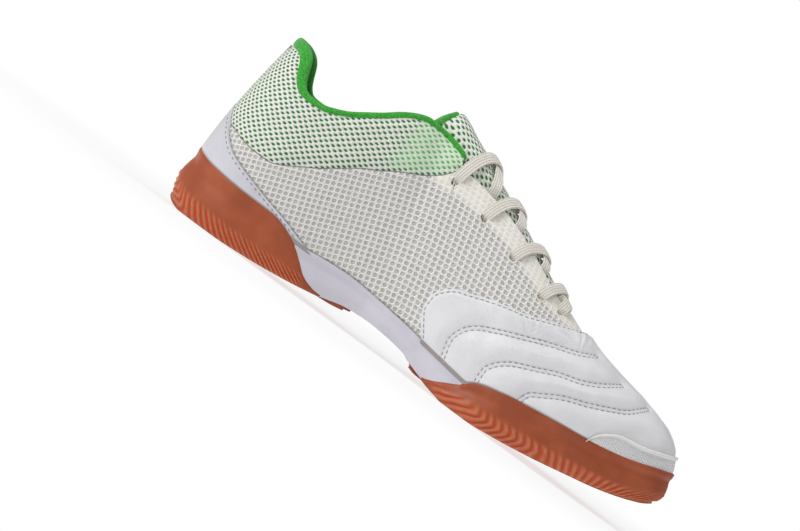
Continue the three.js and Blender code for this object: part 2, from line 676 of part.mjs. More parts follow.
// The lace crosses between each pair of eyelets and the next, and runs straight across the last pair
function buildLaces() {
  const at = (row, side) => eyelets[2 * row + side].point;
  const lastRow = eyeletTable.length - 1;
  const strips = [laceStrip(at(lastRow, 0), at(lastRow, 1))];
  for (let row = 0; row < lastRow; row += 1) {
    for (const side of [0, 1]) strips.push(laceStrip(at(row, side), at(row + 1, 1 - side)));
  }
  return strips.reduce((whole, strip) => whole.add(strip));
}

// Meshes
function meshOf(name, solid, colour, roughness) {
  const { vertProperties, triVerts } = solid.getMesh();
  const geometry = new THREE.BufferGeometry();
  geometry.setAttribute('position', new THREE.BufferAttribute(vertProperties, 3));
  geometry.setIndex(Array.from(triVerts));
  geometry.computeVertexNormals();
  const material = new THREE.MeshStandardMaterial({ color: colour, roughness, metalness: 0 });
  const mesh = new THREE.Mesh(geometry, material);
  mesh.name = name;
  return mesh;
}

const vampZone = ahead(vampLine).subtract(nearBumper);
const shoe = new THREE.Group();
shoe.add(meshOf('outsole', buildOutsole(), 0xb9683f, 0.55));
shoe.add(meshOf('midsole', buildMidsole(), 0xd9d4e0, 0.6));
shoe.add(meshOf('insole', buildInsole(), 0x2f9a44, 0.9));
shoe.add(meshOf('upper', buildUpper(), 0xe9e5da, 0.85));
shoe.add(meshOf('tongue', buildTongue(), 0xe6eadb, 0.85));
shoe.add(meshOf('collar_binding', buildBinding(), 0x3bb143, 0.85));
shoe.add(meshOf('vamp', overlayOf(vampZone, 0), 0xeeeff1, 0.45));
shoe.add(meshOf('heel_counter', overlayOf(below(counterLine), 0), 0xd8d8dd, 0.4));
shoe.add(meshOf('toe_bumper', overlayOf(below(bumperLine), bumperRise), 0xf1f1f1, 0.5));
shoe.add(meshOf('laces', buildLaces(), 0xefe9dc, 0.9));

// The origin lies under the middle of the shoe, on the floor
const box = new THREE.Box3().setFromObject(shoe);
const middle = box.getCenter(new THREE.Vector3());
shoe.position.set(-middle.x, -middle.y, -box.min.z);

export default shoe;
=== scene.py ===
"""Looks of a low indoor soccer shoe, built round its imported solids.

Every surface is worked out from the same sections and side lines as the solids: a place runs along the
sole's outline in millimetres, from the middle of the heel along the outer side and back along the inner
one, and a share runs from the feather edge to the top. Tables are in millimetres or shares.
"""

import math

import bpy
import numpy as np
from mathutils import Matrix, Vector


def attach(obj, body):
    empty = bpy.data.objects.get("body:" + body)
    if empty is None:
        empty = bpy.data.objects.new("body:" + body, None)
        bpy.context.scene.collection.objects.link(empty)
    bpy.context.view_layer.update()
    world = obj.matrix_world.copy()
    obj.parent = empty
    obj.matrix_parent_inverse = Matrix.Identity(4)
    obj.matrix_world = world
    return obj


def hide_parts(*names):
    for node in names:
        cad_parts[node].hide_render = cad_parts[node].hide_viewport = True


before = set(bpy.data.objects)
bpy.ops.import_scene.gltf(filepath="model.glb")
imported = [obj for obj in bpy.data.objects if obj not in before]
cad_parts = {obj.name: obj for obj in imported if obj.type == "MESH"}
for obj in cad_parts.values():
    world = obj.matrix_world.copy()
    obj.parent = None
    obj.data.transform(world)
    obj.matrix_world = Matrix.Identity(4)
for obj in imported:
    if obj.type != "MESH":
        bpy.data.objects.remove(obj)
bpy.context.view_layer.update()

# Sizes in millimetres
LENGTH, BALL, HEEL, INSTEP, SOLE = 292.0, 104.0, 105.0, 124.0, 32.6
CUP_WALL, OVERLAY, GAP, WALL, HOLLOW = 3.4, 1.2, 0.3, 2.0, 1.9
UPPER = -OVERLAY - GAP
LINING = UPPER - WALL
FEATHER = CUP_WALL - OVERLAY
ORIGIN = np.array([146.031, 1.005, 0.0])  # where the solids' origin lies in the tables' frame

NAMES = "edge inner outer top ridge span rise belly lift brow drop".split()
SECTIONS = dict(zip(NAMES, np.array([
    [0, 0, 0, 0.041, 0, 0, 1.048, 0.029, 0.33, 0.043, 0.3],
    [0.0075, -0.135, 0.135, 0.046, 0, 0.091, 1.048, 0.029, 0.33, 0.043, 0.3],
    [0.031, -0.245, 0.245, 0.063, 0, 0.173, 1.048, 0.029, 0.33, 0.04, 0.3],
    [0.0685, -0.317, 0.317, 0.096, 0, 0.226, 1.048, 0.027, 0.33, 0.03, 0.3],
    [0.13, -0.351, 0.356, 0.144, 0, 0.255, 1.048, 0.024, 0.33, 0.015, 0.3],
    [0.212, -0.337, 0.37, 0.199, 0, 0.255, 1.048, 0.015, 0.33, 0.015, 0.3],
    [0.288, -0.303, 0.375, 0.253, 0, 0.212, 1.046, 0.01, 0.38, 0.04, 0.24],
    [0.342, -0.284, 0.385, 0.295, 0, 0.125, 1.036, 0.008, 0.45, 0.09, 0.1],
    [0.39, -0.279, 0.399, 0.332, 0, 0, 1.008, 0.008, 0.48, 0.154, 0],
    [0.442, -0.293, 0.418, 0.394, 0, 0, 0.946, 0.01, 0.5, 0.183, 0],
    [0.497, -0.332, 0.447, 0.466, -0.01, 0, 0.861, 0.015, 0.5, 0.192, 0],
    [0.589, -0.418, 0.49, 0.575, -0.03, 0, 0.736, 0.02, 0.52, 0.21, 0],
    [0.685, -0.49, 0.51, 0.685, -0.06, 0, 0.607, 0.02, 0.54, 0.24, 0],
    [0.774, -0.485, 0.465, 0.771, -0.085, 0, 0.531, 0.015, 0.57, 0.26, 0],
    [0.856, -0.44, 0.37, 0.839, -0.1, 0, 0.498, 0.012, 0.6, 0.25, 0],
    [0.921, -0.375, 0.247, 0.884, -0.107, 0, 0.477, 0.01, 0.6, 0.21, 0],
    [0.966, -0.298, 0.117, 0.906, -0.11, 0, 0.465, 0.008, 0.6, 0.165, 0],
    [0.9915, -0.21, -0.005, 0.916, -0.11, 0, 0.457, 0.008, 0.6, 0.13, 0],
    [1, -0.11, -0.11, 0.9195, -0.11, 0, 0.455, 0.008, 0.6, 0.115, 0],
]).T))
FIRST_RIDGE = 8


def side_line(height, *rows):
    """A side line's corners in millimetres, from shares of the length and of a height."""
    return np.array(rows, float) * (LENGTH, height)


GROUND_LINE = side_line(
    SOLE, (0, 0.23), (0.014, 0.092), (0.027, 0.034), (0.045, 0), (0.113, 0), (0.18, 0.028), (0.25, 0.089),
    (0.32, 0.187), (0.377, 0.304), (0.418, 0.325), (0.452, 0.307), (0.497, 0.252), (0.514, 0.19),
    (0.548, 0.101), (0.582, 0.03), (0.603, 0), (0.65, 0), (0.702, 0.037), (0.77, 0.117), (0.836, 0.221),
    (0.904, 0.34), (0.973, 0.534), (1, 0.675))
RIM_LINE = side_line(
    SOLE, (0, 1.006), (0.014, 0.939), (0.043, 0.874), (0.113, 0.822), (0.18, 0.807), (0.205, 0.755),
    (0.23, 0.68), (0.26, 0.672), (0.3, 0.706), (0.35, 0.727), (0.4, 0.696), (0.47, 0.632), (0.53, 0.561),
    (0.6, 0.482), (0.613, 0.47), (0.625, 0.534), (0.64, 0.586), (0.667, 0.644), (0.7, 0.702),
    (0.77, 0.785), (0.836, 0.853), (0.904, 0.957), (0.94, 1.04), (0.973, 1.126), (1, 1.18))
BED_LINE = side_line(
    SOLE, (0, 0.61), (0.113, 0.58), (0.25, 0.552), (0.377, 0.552), (0.418, 0.537), (0.47, 0.475),
    (0.514, 0.405), (0.56, 0.337), (0.603, 0.29), (0.65, 0.276), (0.702, 0.307), (0.77, 0.383),
    (0.836, 0.49), (0.904, 0.613), (0.973, 0.8), (1, 0.89))
HEEL_GUM_LINE = side_line(
    SOLE, (0.185, 0.82), (0.187, 0.81), (0.197, 0.782), (0.214, 0.73), (0.231, 0.666), (0.245, 0.61),
    (0.265, 0.475), (0.283, 0.34), (0.3, 0.276), (0.317, 0.248), (0.345, 0.262), (0.372, 0.3))
FORE_GUM_LINE = side_line(
    SOLE, (0.512, 0.2), (0.53, 0.163), (0.545, 0.158), (0.565, 0.205), (0.582, 0.285), (0.6, 0.377),
    (0.615, 0.46), (0.62, 0.505))
SOLE_SIDE = np.array([[0, 1.1], [0.15, 0.5], [0.36, 0], [0.58, 0.45], [0.77, 1], [1, 0.42]])
COLLAR_LINE = side_line(
    HEEL, (0.03, 1.01), (0.046, 1.0), (0.064, 0.966), (0.073, 0.902), (0.087, 0.844), (0.1, 0.817),
    (0.118, 0.81), (0.141, 0.813), (0.162, 0.832), (0.182, 0.857), (0.209, 0.905), (0.236, 0.956),
    (0.26, 1.01), (0.284, 1.048), (0.303, 1.064), (0.327, 1.064), (0.351, 1.052), (0.379, 1.032),
    (0.391, 1.018))
BINDING_DEPTH = np.array([[9, 6], [19, 6], [25, 4.4], [32, 3], [47, 2.6], [116, 2.6]], float)
COUNTER_LINE = side_line(
    SOLE, (-0.02, 1.933), (0.007, 1.881), (0.016, 1.639), (0.034, 1.398), (0.059, 1.217), (0.087, 1.118),
    (0.121, 1.031), (0.162, 0.931), (0.207, 0.831), (0.241, 0.738), (0.272, 0.66))
VAMP_LINE = side_line(
    INSTEP, (0.512, 0.127), (0.509, 0.152), (0.492, 0.207), (0.477, 0.275), (0.478, 0.328), (0.488, 0.367),
    (0.51, 0.409), (0.527, 0.422), (0.562, 0.45), (0.596, 0.473), (0.63, 0.49), (0.663, 0.517),
    (0.697, 0.546), (0.727, 0.567), (0.745, 0.61))
BUMPER_LINE = side_line(
    SOLE, (0.836, 0.709), (0.839, 0.863), (0.846, 0.989), (0.863, 1.127), (0.884, 1.221), (0.914, 1.256),
    (0.944, 1.321), (0.979, 1.427), (1.03, 1.61))
# Where the collar's fine mesh meets the open mesh below it, in millimetres along and up
BORDER_LINE = np.array([
    [-4, 52], [4, 50.6], [9.7, 49.6], [17.2, 47.6], [27.2, 46.4], [35.1, 46.5], [42, 49.1], [48, 52.7],
    [56.8, 57.9], [66.6, 65], [74.5, 70.7], [83.3, 75.8], [91.2, 80.9], [101, 86.1], [109, 92.7],
    [115.7, 101.3], [120, 108]])
# Sewn channels of the vamp in side view, from the sole to the ridge
CHANNELS = [
    [[163, 17.6], [160.4, 28.5], [162.3, 34.5], [168, 40.6], [177, 45.2], [186, 48.9], [196, 53],
     [205.6, 56.7], [215.5, 59.9], [224.5, 64]],
    [[183.5, 18], [183, 25], [185.2, 30], [192, 36], [204, 41.3], [214, 45.9], [224, 49], [233.6, 53.2],
     [243, 60]],
    [[206.8, 23.4], [208.2, 28.4], [214, 32.5], [224, 38.2], [234, 41.9], [243.7, 46], [252.6, 50.5],
     [260.5, 58]],
]
TONGUE_HALF = np.array([[88, 20.8], [96, 20.8], [128, 20.8], [161, 17.7], [190, 14.6], [204, 12], [208.8, 6.2]])
THROAT_HALF = np.array([
    [113.6, 17.7], [128.5, 15.5], [141.9, 13.5], [155, 11.5], [170, 10.5], [189.8, 10.2], [197.1, 8.8],
    [200.9, 5.7], [202, 0]])
EYELETS = np.array([[0.396, 0.749], [0.474, 0.703], [0.553, 0.644], [0.6315, 0.584], [0.674, 0.579]])
EYELETS = EYELETS * (LENGTH, INSTEP)


# Lines and surfaces

def line_through(knots, values, closed=False):
    """A smooth line through values at growing knots: cubic pieces whose slope at a knot is the harmonic
    mean of the rises on both sides, or level where those rises have different signs."""
    k, v = np.asarray(knots, float), np.asarray(values, float)
    rise = np.diff(v) / np.diff(k)
    before = np.concatenate([[rise[-1] if closed else rise[0]], rise])
    after = np.concatenate([rise, [rise[0] if closed else rise[-1]]])
    both = before + after
    slope = np.where(before * after > 0, 2 * before * after / np.where(both == 0, 1, both), 0)

    def at(place):
        place = np.asarray(place, float)
        if closed:
            place = k[0] + np.mod(place - k[0], k[-1] - k[0])
        i = np.clip(np.searchsorted(k, place, side="right") - 1, 0, len(k) - 2)
        width = k[i + 1] - k[i]
        t = np.clip((place - k[i]) / width, 0, 1)
        t2, t3 = t * t, t * t * t
        return ((2 * t3 - 3 * t2 + 1) * v[i] + (t3 - 2 * t2 + t) * width * slope[i]
                + (3 * t2 - 2 * t3) * v[i + 1] + (t3 - t2) * width * slope[i + 1])
    return at


def through(points):
    """A smooth height over the first column of a table."""
    points = np.asarray(points, float)
    return line_through(points[:, 0], points[:, 1])


ground, rim, bed = through(GROUND_LINE), through(RIM_LINE), through(BED_LINE)
collar, border, counter, bumper = map(through, (COLLAR_LINE, BORDER_LINE, COUNTER_LINE, BUMPER_LINE))
binding_depth = through(BINDING_DEPTH)
heel_gum, fore_gum = through(HEEL_GUM_LINE), through(FORE_GUM_LINE)
vamp_x = through(VAMP_LINE[:, ::-1])
throat_half, tongue_half = through(THROAT_HALF), through(TONGUE_HALF)
side_inset = through(SOLE_SIDE)

edge_x = SECTIONS["edge"] * LENGTH
top_x = SECTIONS["top"] * LENGTH
chords = [np.hypot(np.diff(edge_x), np.diff(SECTIONS[s] * BALL)) for s in ("outer", "inner")]
HALF = np.concatenate([[0], np.cumsum((chords[0] + chords[1]) / 2)])
LOOP = 2 * HALF[-1]
LOOP_KNOTS = np.concatenate([HALF, LOOP - HALF[-2::-1]])


def loop_line(outer, inner=None):
    """A closed line round the loop of sections, with one value a section on each side."""
    inner = outer if inner is None else inner
    return line_through(LOOP_KNOTS, np.concatenate([outer, inner[-2::-1]]), closed=True)


def section(name, scale=1.0):
    """A section column as a closed line."""
    return loop_line(SECTIONS[name] * scale)


slopes = np.zeros(len(edge_x))
for row in range(FIRST_RIDGE - 1, len(edge_x)):
    lo_row, hi_row = max(row - 1, 0), min(row + 1, len(edge_x) - 1)
    slopes[row] = ((SECTIONS["rise"][hi_row] - SECTIONS["rise"][lo_row]) * INSTEP
                   / (top_x[hi_row] - top_x[lo_row]))
out_x = loop_line(edge_x)
out_y = loop_line(SECTIONS["outer"] * BALL, SECTIONS["inner"] * BALL)
ridge_y = SECTIONS["ridge"] * BALL
span_y = SECTIONS["span"] * BALL
line_top_x, line_top_z = loop_line(top_x), section("rise", INSTEP)
line_top_y = loop_line(ridge_y + span_y, ridge_y - span_y)
line_span, line_slope = section("span", BALL), loop_line(slopes)
line_belly, line_lift = section("belly", BALL), section("lift")
line_brow, line_drop = section("brow", BALL), section("drop")
ridge_at = line_through(top_x[FIRST_RIDGE:], ridge_y[FIRST_RIDGE:])


def outline(place, inset):
    """The sole's outline moved in by an inset, and its outward direction, from central differences."""
    dx = out_x(place + 0.05) - out_x(place - 0.05)
    dy = out_y(place + 0.05) - out_y(place - 0.05)
    size = np.hypot(dx, dy)
    nx, ny = -dy / size, dx / size
    return out_x(place) - inset * nx, out_y(place) - inset * ny, nx, ny


def bare_surface(place, share):
    """The last: a cubic curve from the feather edge, up and out by the belly, to the top."""
    x, y, nx, ny = outline(place, FEATHER)
    z = bed(x)
    tx, ty, tz = line_top_x(place), line_top_y(place), line_top_z(place)
    height = tz - z
    swell, brow = line_belly(place), line_brow(place)
    low = (x + swell * nx, y + swell * ny, z + line_lift(place) * height)
    high = (tx + brow * nx, ty + brow * ny,
            tz + line_slope(place) * brow * nx - line_drop(place) * height)
    rest = 1 - share
    w0, w1, w2, w3 = rest ** 3, 3 * rest * rest * share, 3 * rest * share * share, share ** 3
    return np.stack([w0 * a + w1 * b + w2 * c + w3 * d for a, b, c, d in
                     zip((x, y, z), low, high, (tx, ty, tz))], -1)


def unit(v):
    """Vectors made one long."""
    return v / np.maximum(np.linalg.norm(v, axis=-1, keepdims=True), 1e-9)


def normals(place, share):
    """Outward directions: the surface's step across crossed with its step along."""
    step, nudge = 1e-3, 0.3
    across = bare_surface(place, np.minimum(share + step, 1)) - bare_surface(place, np.maximum(share - step, 0))
    along = bare_surface(place + nudge, share) - bare_surface(place - nudge, share)
    n = unit(np.cross(across, along))
    on_ridge = (share > 1 - 1e-6) & (line_span(place) < 0.05)
    up = np.stack([-line_slope(place), np.zeros_like(place), np.ones_like(place)], -1)
    return np.where(on_ridge[..., None], unit(up), n)


def surface(place, share, offset=0.0):
    """The last grown by an offset along its outward directions."""
    place, share = np.broadcast_arrays(np.asarray(place, float), np.asarray(share, float))
    offset = np.broadcast_to(np.asarray(offset, float), place.shape)
    return bare_surface(place, share) + normals(place, share) * offset[..., None]


def smooth(low, high, value):
    """0 under low, 1 over high, and a soft step between."""
    t = np.clip((value - low) / (high - low), 0, 1)
    return t * t * (3 - 2 * t)


def bell(value, width):
    """1 at zero, falling off as a bell of a width."""
    return np.exp(-(value / width) ** 2)


def ripple(t, seed, waves, long, short):
    """A sum of sines with seeded phases and lengths between short and long: an uneven, repeatable wave."""
    rng = np.random.default_rng(seed)
    total = 0
    for _ in range(waves):
        total = total + np.sin(2 * np.pi * t / rng.uniform(short, long) + rng.uniform(0, 6.3))
    return total / math.sqrt(waves)


# Grids to meshes

def band(place, inside, low=0.0, high=1.0, steps=260):
    """The lowest and highest share at which each column lies inside a field, by linear interpolation."""
    s = np.linspace(low, high, steps)
    field = inside(bare_surface(place[:, None], s[None, :]))
    ok = field > 0
    first, last = ok.argmax(1), steps - 1 - ok[:, ::-1].argmax(1)
    rows = np.arange(len(place))

    def cross(outer, inner):
        a, b = field[rows, outer], field[rows, inner]
        t = np.where(outer == inner, 0, a / np.where(a == b, 1, a - b))
        return s[outer] + np.clip(t, 0, 1) * (s[inner] - s[outer])
    lo = cross(np.maximum(first - 1, 0), first)
    hi = cross(np.minimum(last + 1, steps - 1), last)
    lo = np.where(ok[:, 0], low, lo)
    hi = np.where(ok[:, -1], high, hi)
    none = ~ok.any(1)
    best = s[field.argmax(1)]
    return np.where(none, best, lo), np.where(none, best, hi)


def quads(rows, cols, wrap=False):
    """Corner numbers of a grid's faces, rows by columns, closed round its columns where asked."""
    index = np.arange(rows * cols).reshape(rows, cols)
    if wrap:
        index = np.concatenate([index, index[:, :1]], 1)
    a, b, c, d = index[:-1, :-1], index[:-1, 1:], index[1:, 1:], index[1:, :-1]
    return np.stack([a, b, c, d], -1).reshape(-1, 4)


class Sheet:
    """A grid of points with an optional map and named values at its points."""

    def __init__(self, points, uv=None, wrap=False, flip=False, **values):
        points = np.asarray(points, float)
        self.faces = quads(points.shape[0], points.shape[1], wrap)
        if flip:
            self.faces = self.faces[:, ::-1]
        self.points = points.reshape(-1, 3)
        self.uv = np.zeros((len(self.points), 2)) if uv is None else np.asarray(uv, float).reshape(-1, 2)
        self.values = {k: np.broadcast_to(v, points.shape[:2]).reshape(-1) for k, v in values.items()}


def make(name, sheets, material, replaces=()):
    """One mesh object from several sheets, riding on the shoe's one body."""
    sheets = sheets if isinstance(sheets, list) else [sheets]
    start, points, faces = 0, [], []
    for sheet in sheets:
        points.append(sheet.points)
        faces.append(sheet.faces + start)
        start += len(sheet.points)
    points, faces = np.concatenate(points), np.concatenate(faces)
    diagonal = np.cross(points[faces[:, 2]] - points[faces[:, 0]], points[faces[:, 3]] - points[faces[:, 1]])
    faces = faces[np.linalg.norm(diagonal, axis=1) > 1e-5]
    mesh = bpy.data.meshes.new(name)
    mesh.vertices.add(len(points))
    mesh.vertices.foreach_set("co", ((points - ORIGIN) / 1000).ravel())
    mesh.loops.add(faces.size)
    mesh.loops.foreach_set("vertex_index", faces.ravel().astype(np.int32))
    mesh.polygons.add(len(faces))
    mesh.polygons.foreach_set("loop_start", (np.arange(len(faces)) * 4).astype(np.int32))
    mesh.polygons.foreach_set("use_smooth", np.ones(len(faces), bool))
    uv = np.concatenate([sheet.uv for sheet in sheets])
    layer = mesh.uv_layers.new(name="map")
    layer.data.foreach_set("uv", uv[faces.ravel()].ravel())
    for key in sorted({k for sheet in sheets for k in sheet.values}):
        data = np.concatenate([sheet.values.get(key, np.zeros(len(sheet.points))) for sheet in sheets])
        mesh.attributes.new(key, "FLOAT", "POINT").data.foreach_set("value", data.astype(np.float32))
    mesh.update(calc_edges=True)
    mesh.validate()
    obj = bpy.data.objects.new(name, mesh)
    bpy.context.scene.collection.objects.link(obj)
    mesh.materials.append(material)
    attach(obj, "root")
    if replaces:
        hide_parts(*replaces)
    return obj


def place_of(x, share=0.0):
    """The place on the outer side whose surface point at a share lies at x along the shoe."""
    p = np.linspace(0, HALF[-1], 1500)
    return np.interp(x, bare_surface(p, np.full_like(p, share))[:, 0], p)


def both_sides(half):
    """Places along both sides through the heel, from the inner side's front to the outer side's."""
    return np.concatenate([-half[:0:-1], half])


def round_toe(start, count):
    """Places from the outer side's start round the toe to the inner side's."""
    return np.linspace(start, LOOP - start, count)


def stops(*pairs):
    """Places with a step of their own between each pair of stops."""
    parts = [np.arange(a, b, step) for (a, step), (b, _) in zip(pairs[:-1], pairs[1:])]
    return np.concatenate(parts + [[pairs[-1][0]]])


# The nearest place and share of points given in side view, for each side of the ridge
grid_place = np.linspace(0, HALF[-1], 420)
grid_share = np.linspace(0, 1, 160)


def find(side, u, v, axes=(0, 2), lowest=0):
    """Place and share on one side for points known on two axes: nearest of a grid, then damped steps."""
    u, v = np.atleast_1d(u).astype(float), np.atleast_1d(v).astype(float)
    places = grid_place if side > 0 else LOOP - grid_place
    shares = grid_share[lowest:]
    points = bare_surface(places[:, None], shares[None, :])[..., axes]
    p, s = np.empty(len(u)), np.empty(len(u))
    for i in range(len(u)):
        k = ((points[..., 0] - u[i]) ** 2 + (points[..., 1] - v[i]) ** 2).argmin()
        p[i], s[i] = places[k // len(shares)], shares[k % len(shares)]
    for _ in range(8):
        here = bare_surface(p, s)[:, axes]
        dp = (bare_surface(p + 0.2, s)[:, axes] - here) / 0.2
        low = np.minimum(s, 0.998)
        ds = (bare_surface(p, low + 1e-3) - bare_surface(p, low))[:, axes] / 1e-3
        (a, c), (b, d) = dp.T, ds.T
        eu, ev = u - here[:, 0], v - here[:, 1]
        det = a * d - b * c
        det = np.where(np.abs(det) < 4, np.where(det < 0, -4, 4), det)
        p = p + np.clip((d * eu - b * ev) / det, -1, 1)
        s = np.clip(s + np.clip((a * ev - c * eu) / det, -0.02, 0.02), 0, 1)
    return p, s


def on_top(x, w):
    """Place and share of spots on the instep, at x along the shoe and w across from the ridge line."""
    x, w = np.broadcast_arrays(np.asarray(x, float), np.asarray(w, float))
    flat_x, flat_y = x.ravel(), (ridge_at(x) + w).ravel()
    outer = w.ravel() >= 0
    p, s = np.empty(flat_x.shape), np.empty(flat_x.shape)
    for side, here in ((1, outer), (-1, ~outer)):
        if here.any():
            p[here], s[here] = find(side, flat_x[here], flat_y[here], (0, 1), 75)
    return p.reshape(x.shape), s.reshape(x.shape)


def even(points, step):
    """A line's points spread evenly along its length, about a step apart."""
    points = np.asarray(points, float)
    run = np.concatenate([[0], np.cumsum(np.linalg.norm(np.diff(points, axis=0), axis=1))])
    keep = np.concatenate([[True], np.diff(run) > 1e-9])
    t = np.linspace(0, run[-1], max(2, int(round(run[-1] / step)) + 1))
    return np.stack([np.interp(t, run[keep], points[keep, k]) for k in range(points.shape[1])], -1)


def soften(points, rounds):
    """A line smoothed by averaging each inner point with its neighbours."""
    points = points.copy()
    for _ in range(rounds):
        points[1:-1] = (points[:-2] + 2 * points[1:-1] + points[2:]) / 4
    return points


def smooth_line(points, step=2.0):
    """A side line's corners joined by a smooth curve over its own length."""
    points = np.asarray(points, float)
    run = np.concatenate([[0], np.cumsum(np.linalg.norm(np.diff(points, axis=0), axis=1))])
    t = np.linspace(0, run[-1], int(run[-1] / step) + 2)
    return np.stack([line_through(run, points[:, k])(t) for k in range(2)], -1)


def lay(line, side, step=1.0):
    """A side line laid on one side of the surface, as places and shares."""
    line = even(smooth_line(line), step)
    p, s = find(side, line[:, 0], line[:, 1])
    return np.stack([p, s], -1)


def distance(points, path):
    """The distance from each point to a broken line, and how far along the line the nearest spot lies."""
    shape = points.shape[:-1]
    flat = points.reshape(-1, 3)
    best, where, run = np.full(len(flat), 1e9), np.zeros(len(flat)), 0.0
    for a, b in zip(path[:-1], path[1:]):
        ab = b - a
        size = float(ab @ ab)
        if size < 1e-12:
            continue
        t = np.clip((flat - a) @ ab / size, 0, 1)
        d = np.linalg.norm(flat - a - t[:, None] * ab, axis=1)
        near = d < best
        best = np.where(near, d, best)
        where = np.where(near, run + t * math.sqrt(size), where)
        run += math.sqrt(size)
    return best.reshape(shape), where.reshape(shape)


def rope(path, up, half_width, half_height, sides=8, power=2.0):
    """A sheet swept along a path: a rounded section, wide across and high along the given up directions."""
    ahead = unit(np.gradient(path, axis=0))
    across = unit(np.cross(ahead, up))
    up = unit(np.cross(across, ahead))
    angle = np.linspace(0, 2 * np.pi, sides, endpoint=False)
    c, s = np.cos(angle), np.sin(angle)
    c, s = np.sign(c) * np.abs(c) ** (2 / power), np.sign(s) * np.abs(s) ** (2 / power)
    w = np.broadcast_to(np.asarray(half_width, float), len(path))[:, None, None]
    h = np.broadcast_to(np.asarray(half_height, float), len(path))[:, None, None]
    points = path[:, None] + across[:, None] * (c[None, :, None] * w) + up[:, None] * (s[None, :, None] * h)
    run = np.concatenate([[0], np.cumsum(np.linalg.norm(np.diff(path, axis=0), axis=1))])
    uv = np.stack(np.broadcast_arrays(run[:, None], (c * w[:, :, 0]).reshape(len(path), -1)), -1)
    return Sheet(points, uv, wrap=True)


def stitches(path, up, length=2.1, gap=1.0, radius=0.26, sink=0.12):
    """Separate stitches along a path: short rounded threads that dip at both ends."""
    run = np.concatenate([[0], np.cumsum(np.linalg.norm(np.diff(path, axis=0), axis=1))])
    count = int(run[-1] / (length + gap))
    t = np.linspace(-1, 1, 7)
    width = np.array([0.25, 0.8, 1, 1, 1, 0.8, 0.25]) * radius
    sheets = []
    for i in range(count):
        at = (i + 0.5) * (length + gap) + t * length / 2
        p = np.stack([np.interp(at, run, path[:, k]) for k in range(3)], -1)
        u = unit(np.stack([np.interp(at, run, up[:, k]) for k in range(3)], -1))
        p = p + u * ((1 - t ** 4) * radius * 0.9 - sink)[:, None]
        sheets.append(rope(p, u, width, width, sides=5))
    return sheets


# Materials

def srgb(r, g, b):
    """A colour given from 0 to 255 as the eye sees it, turned into light."""
    c = np.array([r, g, b]) / 255
    return tuple(np.where(c <= 0.04045, c / 12.92, ((c + 0.055) / 1.055) ** 2.4)) + (1.0,)


class Paint:
    """A material's node tree with short calls for the nodes it is made of. Lengths are in millimetres."""

    def __init__(self, name, **fixed):
        self.material = bpy.data.materials.new(name)
        self.material.use_nodes = True
        self.tree = self.material.node_tree
        self.shader = self.tree.nodes["Principled BSDF"]
        for key, value in fixed.items():
            self.shader.inputs[key.replace("_", " ")].default_value = value
        self.place = self.vector("SCALE", self.node("ShaderNodeTexCoord").outputs["Object"], scale=1000)

    def node(self, kind, inputs=(), **props):
        made = self.tree.nodes.new(kind)
        for key, value in props.items():
            setattr(made, key, value)
        for key, value in dict(inputs).items():
            self.put(value, made.inputs[key])
        return made

    def put(self, value, socket):
        if isinstance(value, bpy.types.NodeSocket):
            self.tree.links.new(value, socket)
        else:
            socket.default_value = value

    def set(self, **values):
        for key, value in values.items():
            self.put(value, self.shader.inputs[key.replace("_", " ")])
        return self

    def math(self, operation, a, b=0.0, c=0.0):
        return self.node("ShaderNodeMath", {0: a, 1: b, 2: c}, operation=operation).outputs[0]

    def vector(self, operation, a, b=(0, 0, 0), scale=1.0):
        third = {"Scale": scale} if operation == "SCALE" else {}
        return self.node("ShaderNodeVectorMath", {0: a, 1: b, **third}, operation=operation).outputs[0]

    def mix(self, share, a, b):
        return self.node("ShaderNodeMix", {0: share, 6: a, 7: b}, data_type="RGBA").outputs[2]

    def step(self, value, low, high, start=0.0, end=1.0):
        return self.node("ShaderNodeMapRange", {0: value, 1: low, 2: high, 3: start, 4: end},
                         interpolation_type="SMOOTHSTEP").outputs[0]

    def noise(self, scale, detail=2.0, where=None, rough=0.5):
        return self.node("ShaderNodeTexNoise", {"Vector": where or self.place, "Scale": scale,
                                                "Detail": detail, "Roughness": rough}).outputs[0]

    def value(self, name):
        return self.node("ShaderNodeAttribute", attribute_name=name).outputs["Fac"]

    def uv(self):
        return self.node("ShaderNodeSeparateXYZ", {0: self.node("ShaderNodeUVMap", uv_map="map").outputs[0]})

    def bump(self, height, depth, before=None):
        inputs = {"Height": height, "Distance": depth / 1000, "Strength": 1.0}
        if before is not None:
            inputs["Normal"] = before
        return self.node("ShaderNodeBump", inputs).outputs[0]

    def cells(self, u, v, pitch, row, wide, high, stagger=0.5, power=2.0):
        """How far a spot lies from the middle of its cell: 1 on an oval of the given half sizes. Every
        second row of cells is shifted by a share of the pitch."""
        rows = self.math("DIVIDE", v, row)
        shift = self.math("MULTIPLY", self.math("FLOORED_MODULO", self.math("FLOOR", rows), 2.0), stagger)
        cu = self.math("SUBTRACT", self.math("FRACT", self.math("MULTIPLY_ADD", u, 1 / pitch, shift)), 0.5)
        cv = self.math("SUBTRACT", self.math("FRACT", rows), 0.5)
        cu = self.math("MULTIPLY", cu, pitch / wide)
        cv = self.math("MULTIPLY", cv, row / high)
        self.spot = cu, cv
        near = [self.math("POWER", self.math("ABSOLUTE", c), power) for c in (cu, cv)]
        return self.math("POWER", self.math("ADD", near[0], near[1]), 1 / power)


